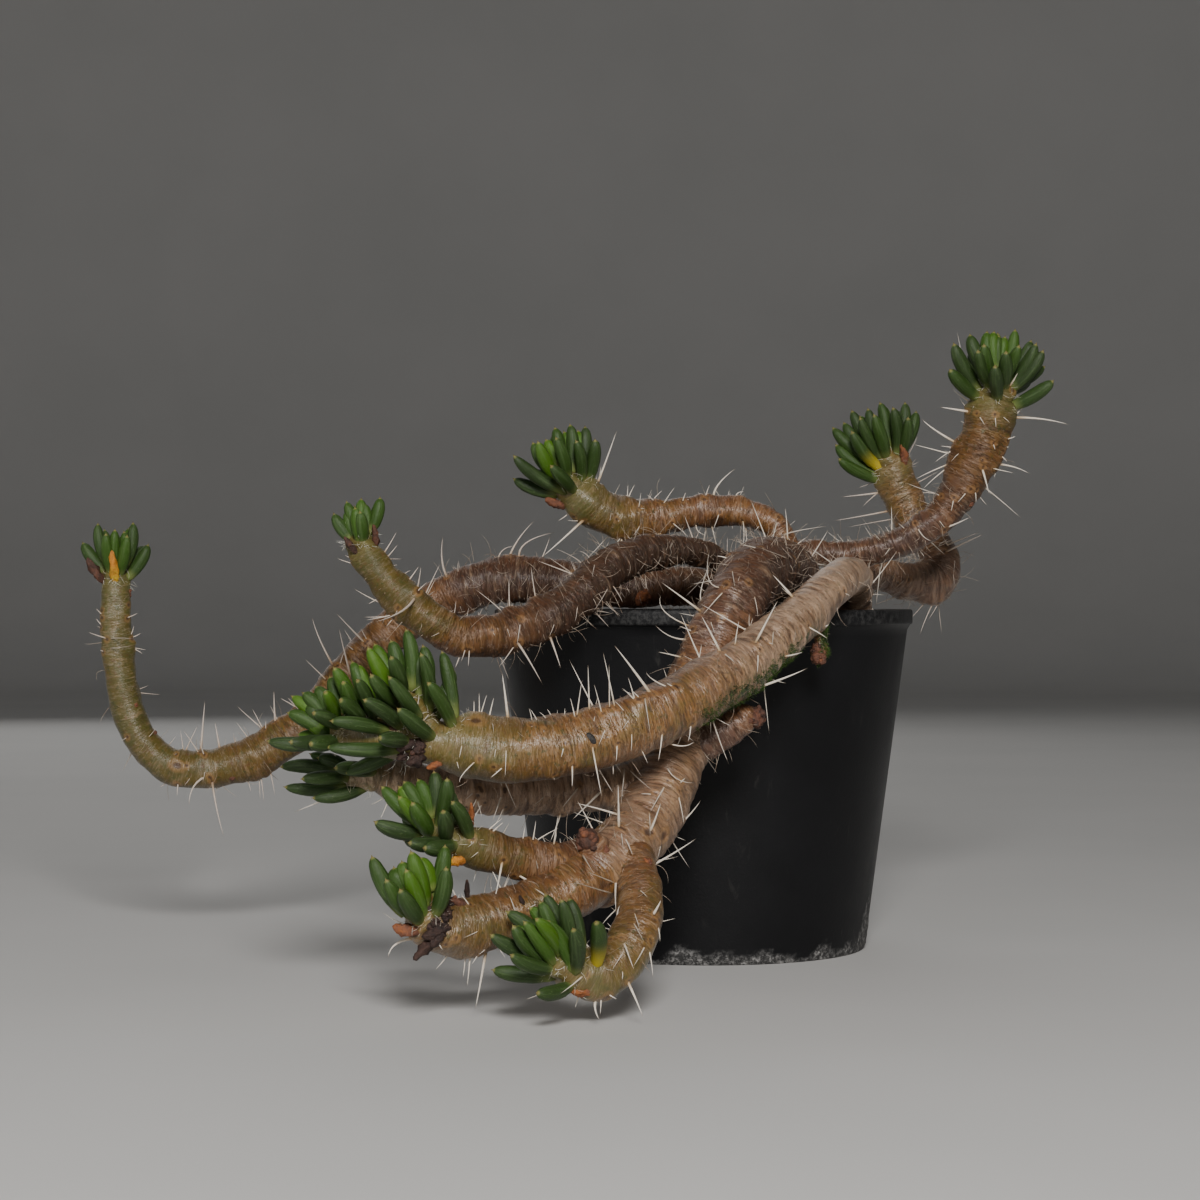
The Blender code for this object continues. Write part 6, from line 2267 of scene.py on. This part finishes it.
def make_pot():
    """The pot, with a rounded lip, drain holes, and a crust that stands slightly out of the wall's foot."""
    profile = pot_profile()
    shape = bmesh.new()
    rings = []
    for radius, height in profile[1:-1]:
        ring = []
        for i in range(POT_SEGMENTS):
            angle = 2 * math.pi * i / POT_SEGMENTS
            x = radius * math.cos(angle)
            y = radius * math.sin(angle)
            outside = radius > wall_radius(height) - POT_WALL / 2
            grown = CRUST_DEPTH * crust_share(x, y, height) if outside and height > EDGE else 0
            grown *= max(0, CRUST_BODY + noise(Vector((x, y, height)) * CRUST_GRAIN))
            ring.append(shape.verts.new((x * (1 + grown / radius), y * (1 + grown / radius), height)))
        rings.append(ring)
    for low, high in zip(rings, rings[1:]):
        for i in range(POT_SEGMENTS):
            j = (i + 1) % POT_SEGMENTS
            shape.faces.new((low[i], low[j], high[j], high[i]))
    shape.faces.new(list(reversed(rings[0])))
    shape.faces.new(rings[-1])
    pot = linked("pot_body", mesh_of("pot_body", shape))
    cut_drain_holes(pot)
    pot.data.shade_smooth()
    pot.data.set_sharp_from_angle(angle=math.radians(SHARP_ANGLE))
    wall_top = POT_HEIGHT - BAND_HEIGHT
    crust = [
        crust_share(*vertex.co) if vertex.co.z < CRUST_TOP else RIM_DUST * (vertex.co.z > wall_top)
        for vertex in pot.data.vertices
    ]
    pot.data.attributes.new("crust", "FLOAT", "POINT").data.foreach_set("value", crust)
    pot.data.materials.clear()
    pot.data.materials.append(pot_look())
    placed(pot, "pot")


def cut_drain_holes(pot):
    """Cuts the drain holes through the pot's floor."""
    shape = bmesh.new()
    for i in range(DRAIN_HOLES):
        angle = 2 * math.pi * (i + 0.5) / DRAIN_HOLES
        made = bmesh.ops.create_cone(
            shape, cap_ends=True, segments=HOLE_SEGMENTS, radius1=DRAIN_HOLE_RADIUS,
            radius2=DRAIN_HOLE_RADIUS, depth=HOLE_CUT,
        )
        x = DRAIN_RING_RADIUS * math.cos(angle)
        y = DRAIN_RING_RADIUS * math.sin(angle)
        bmesh.ops.translate(shape, verts=made["verts"], vec=Vector((x, y, POT_FLOOR / 2)))
    cutter = linked("drain_cutter", mesh_of("drain_cutter", shape))
    modifier = pot.modifiers.new("drains", "BOOLEAN")
    modifier.operation = "DIFFERENCE"
    modifier.object = cutter
    modifier.solver = "EXACT"
    depsgraph = bpy.context.evaluated_depsgraph_get()
    mesh = bpy.data.meshes.new_from_object(pot.evaluated_get(depsgraph))
    pot.modifiers.clear()
    pot.data = mesh
    bpy.data.objects.remove(cutter)


def soil_height(x, y):
    """The height of the soil's top at a place."""
    share = 1 - math.hypot(x, y) / wall_radius(SOIL_EDGE_HEIGHT)
    height = SOIL_EDGE_HEIGHT + (SOIL_CENTRE_HEIGHT - SOIL_EDGE_HEIGHT) * share
    at = Vector((x, y, 0))
    return height + SOIL_UNEVENNESS * (noise(at * SOIL_SCALE) + CRUMBS * noise(at * CRUMB_SCALE))


def make_soil():
    """The potting mix, with an uneven crumbly top and grit on it."""
    edge = wall_radius(SOIL_EDGE_HEIGHT) - POT_WALL - 2 * TOUCH_GAP
    surface = Surface()
    low = POT_FLOOR + TOUCH_GAP
    foot = wall_radius(low) - POT_WALL - TOUCH_GAP - EDGE
    angles = [2 * math.pi * i / SOIL_SEGMENTS for i in range(SOIL_SEGMENTS)]
    rings = [surface.add_ring([Vector((foot * math.cos(a), foot * math.sin(a), low)) for a in angles])]
    for i in range(SOIL_RINGS):
        radius = edge * (1 - i / SOIL_RINGS)
        ring = []
        for a in angles:
            x = radius * math.cos(a)
            y = radius * math.sin(a)
            ring.append(Vector((x, y, soil_height(x, y))))
        rings.append(surface.add_ring(ring))
    surface.close(rings, SOIL_SEGMENTS)
    surface.make("soil_bed", soil_look(), "soil")
    draw = random.Random(f"{SEED} grains")
    looks = {name: plain_look(*look) for name, (_, *look) in GRAIN_KINDS.items()}
    for name, look in looks.items():
        grains = bmesh.new()
        for _ in range(round(GRAINS * GRAIN_KINDS[name][0])):
            add_grain(grains, edge, draw)
        mesh = mesh_of(name, grains)
        mesh.materials.append(look)
        placed(linked(name, mesh), "soil")


def add_grain(shape, edge, draw):
    """Adds one irregular grain that lies half sunk in the soil's top."""
    radius = draw.uniform(*GRAIN_RADII) * draw.uniform(*GRAIN_SIZES)
    reach = (edge - radius) * math.sqrt(draw.random())
    angle = draw.uniform(0, 2 * math.pi)
    x = reach * math.cos(angle)
    y = reach * math.sin(angle)
    centre = Vector((x, y, soil_height(x, y) + radius * draw.uniform(*GRAIN_LIFTS)))
    stretch = Vector([draw.uniform(*limits) for limits in GRAIN_STRETCHES])
    offset = Vector([draw.uniform(*GRAIN_OFFSETS) for _ in range(3)])
    made = bmesh.ops.create_icosphere(shape, subdivisions=1, radius=1)
    for vertex in made["verts"]:
        uneven = 1 + GRAIN_UNEVENNESS * noise(vertex.co * GRAIN_SCALE + offset)
        vertex.co = centre + vertex.co * stretch * (radius * uneven)


def make_stage():
    """A plain pale floor that curves up into a backdrop all round, soft lights, and a dim world."""
    rings = [(radius, 0) for radius in FLOOR_RADII]
    rings += arc((STAGE_RADIUS, STAGE_CURVE), STAGE_CURVE, -90, 0, STAGE_STEPS)
    rings.append((STAGE_RADIUS + STAGE_CURVE, STAGE_HEIGHT))
    angles = [2 * math.pi * i / STAGE_SEGMENTS for i in range(STAGE_SEGMENTS)]
    shape = bmesh.new()
    made = [[shape.verts.new((r * math.cos(a), r * math.sin(a), z)) for a in angles] for r, z in rings]
    for low, high in zip(made, made[1:]):
        for i in range(STAGE_SEGMENTS):
            j = (i + 1) % STAGE_SEGMENTS
            shape.faces.new((low[j], low[i], high[i], high[j]))
    shape.faces.new(made[0])
    mesh = mesh_of("floor", shape)
    mesh.shade_smooth()
    mesh.materials.append(floor_look())
    floor = linked("floor", mesh)
    for name, place, size, power, colour in LIGHTS:
        data = bpy.data.lights.new(name, "AREA")
        data.shape = "DISK"
        data.size = size
        data.energy = power
        data.color = colour
        light = linked(name, data)
        light.location = place
        light.rotation_euler = (LIGHT_AIM - Vector(place)).to_track_quat("-Z", "Y").to_euler()
    world = bpy.data.worlds.new("world")
    world.use_nodes = True
    background = world.node_tree.nodes["Background"].inputs
    background["Color"].default_value = (*WORLD_COLOUR, 1)
    background["Strength"].default_value = WORLD_STRENGTH
    bpy.context.scene.world = world


def make_camera():
    """A level camera where the photograph's was."""
    data = bpy.data.cameras.new("camera")
    data.sensor_width = SENSOR_WIDTH
    data.lens = LENS
    data.clip_start, data.clip_end = CLIP
    camera = linked("camera", data)
    camera.location = CAMERA_PLACE
    camera.rotation_euler = (math.pi / 2, 0, 0)
    bpy.context.scene.camera = camera


def main():
    """Makes the camera, the stage and every piece."""
    make_camera()
    make_stage()
    limbs, grown, spines = grow()
    carried = carriers()
    leaves = head_leaves(grown, carried)
    make_pot()
    make_soil()
    feet = {head["limb"]: leaves[name] for name, head in HEADS.items()}
    skins = make_stems(limbs, feet, spines, carried)
    make_heads(leaves)
    make_details(carried, skins)


main()
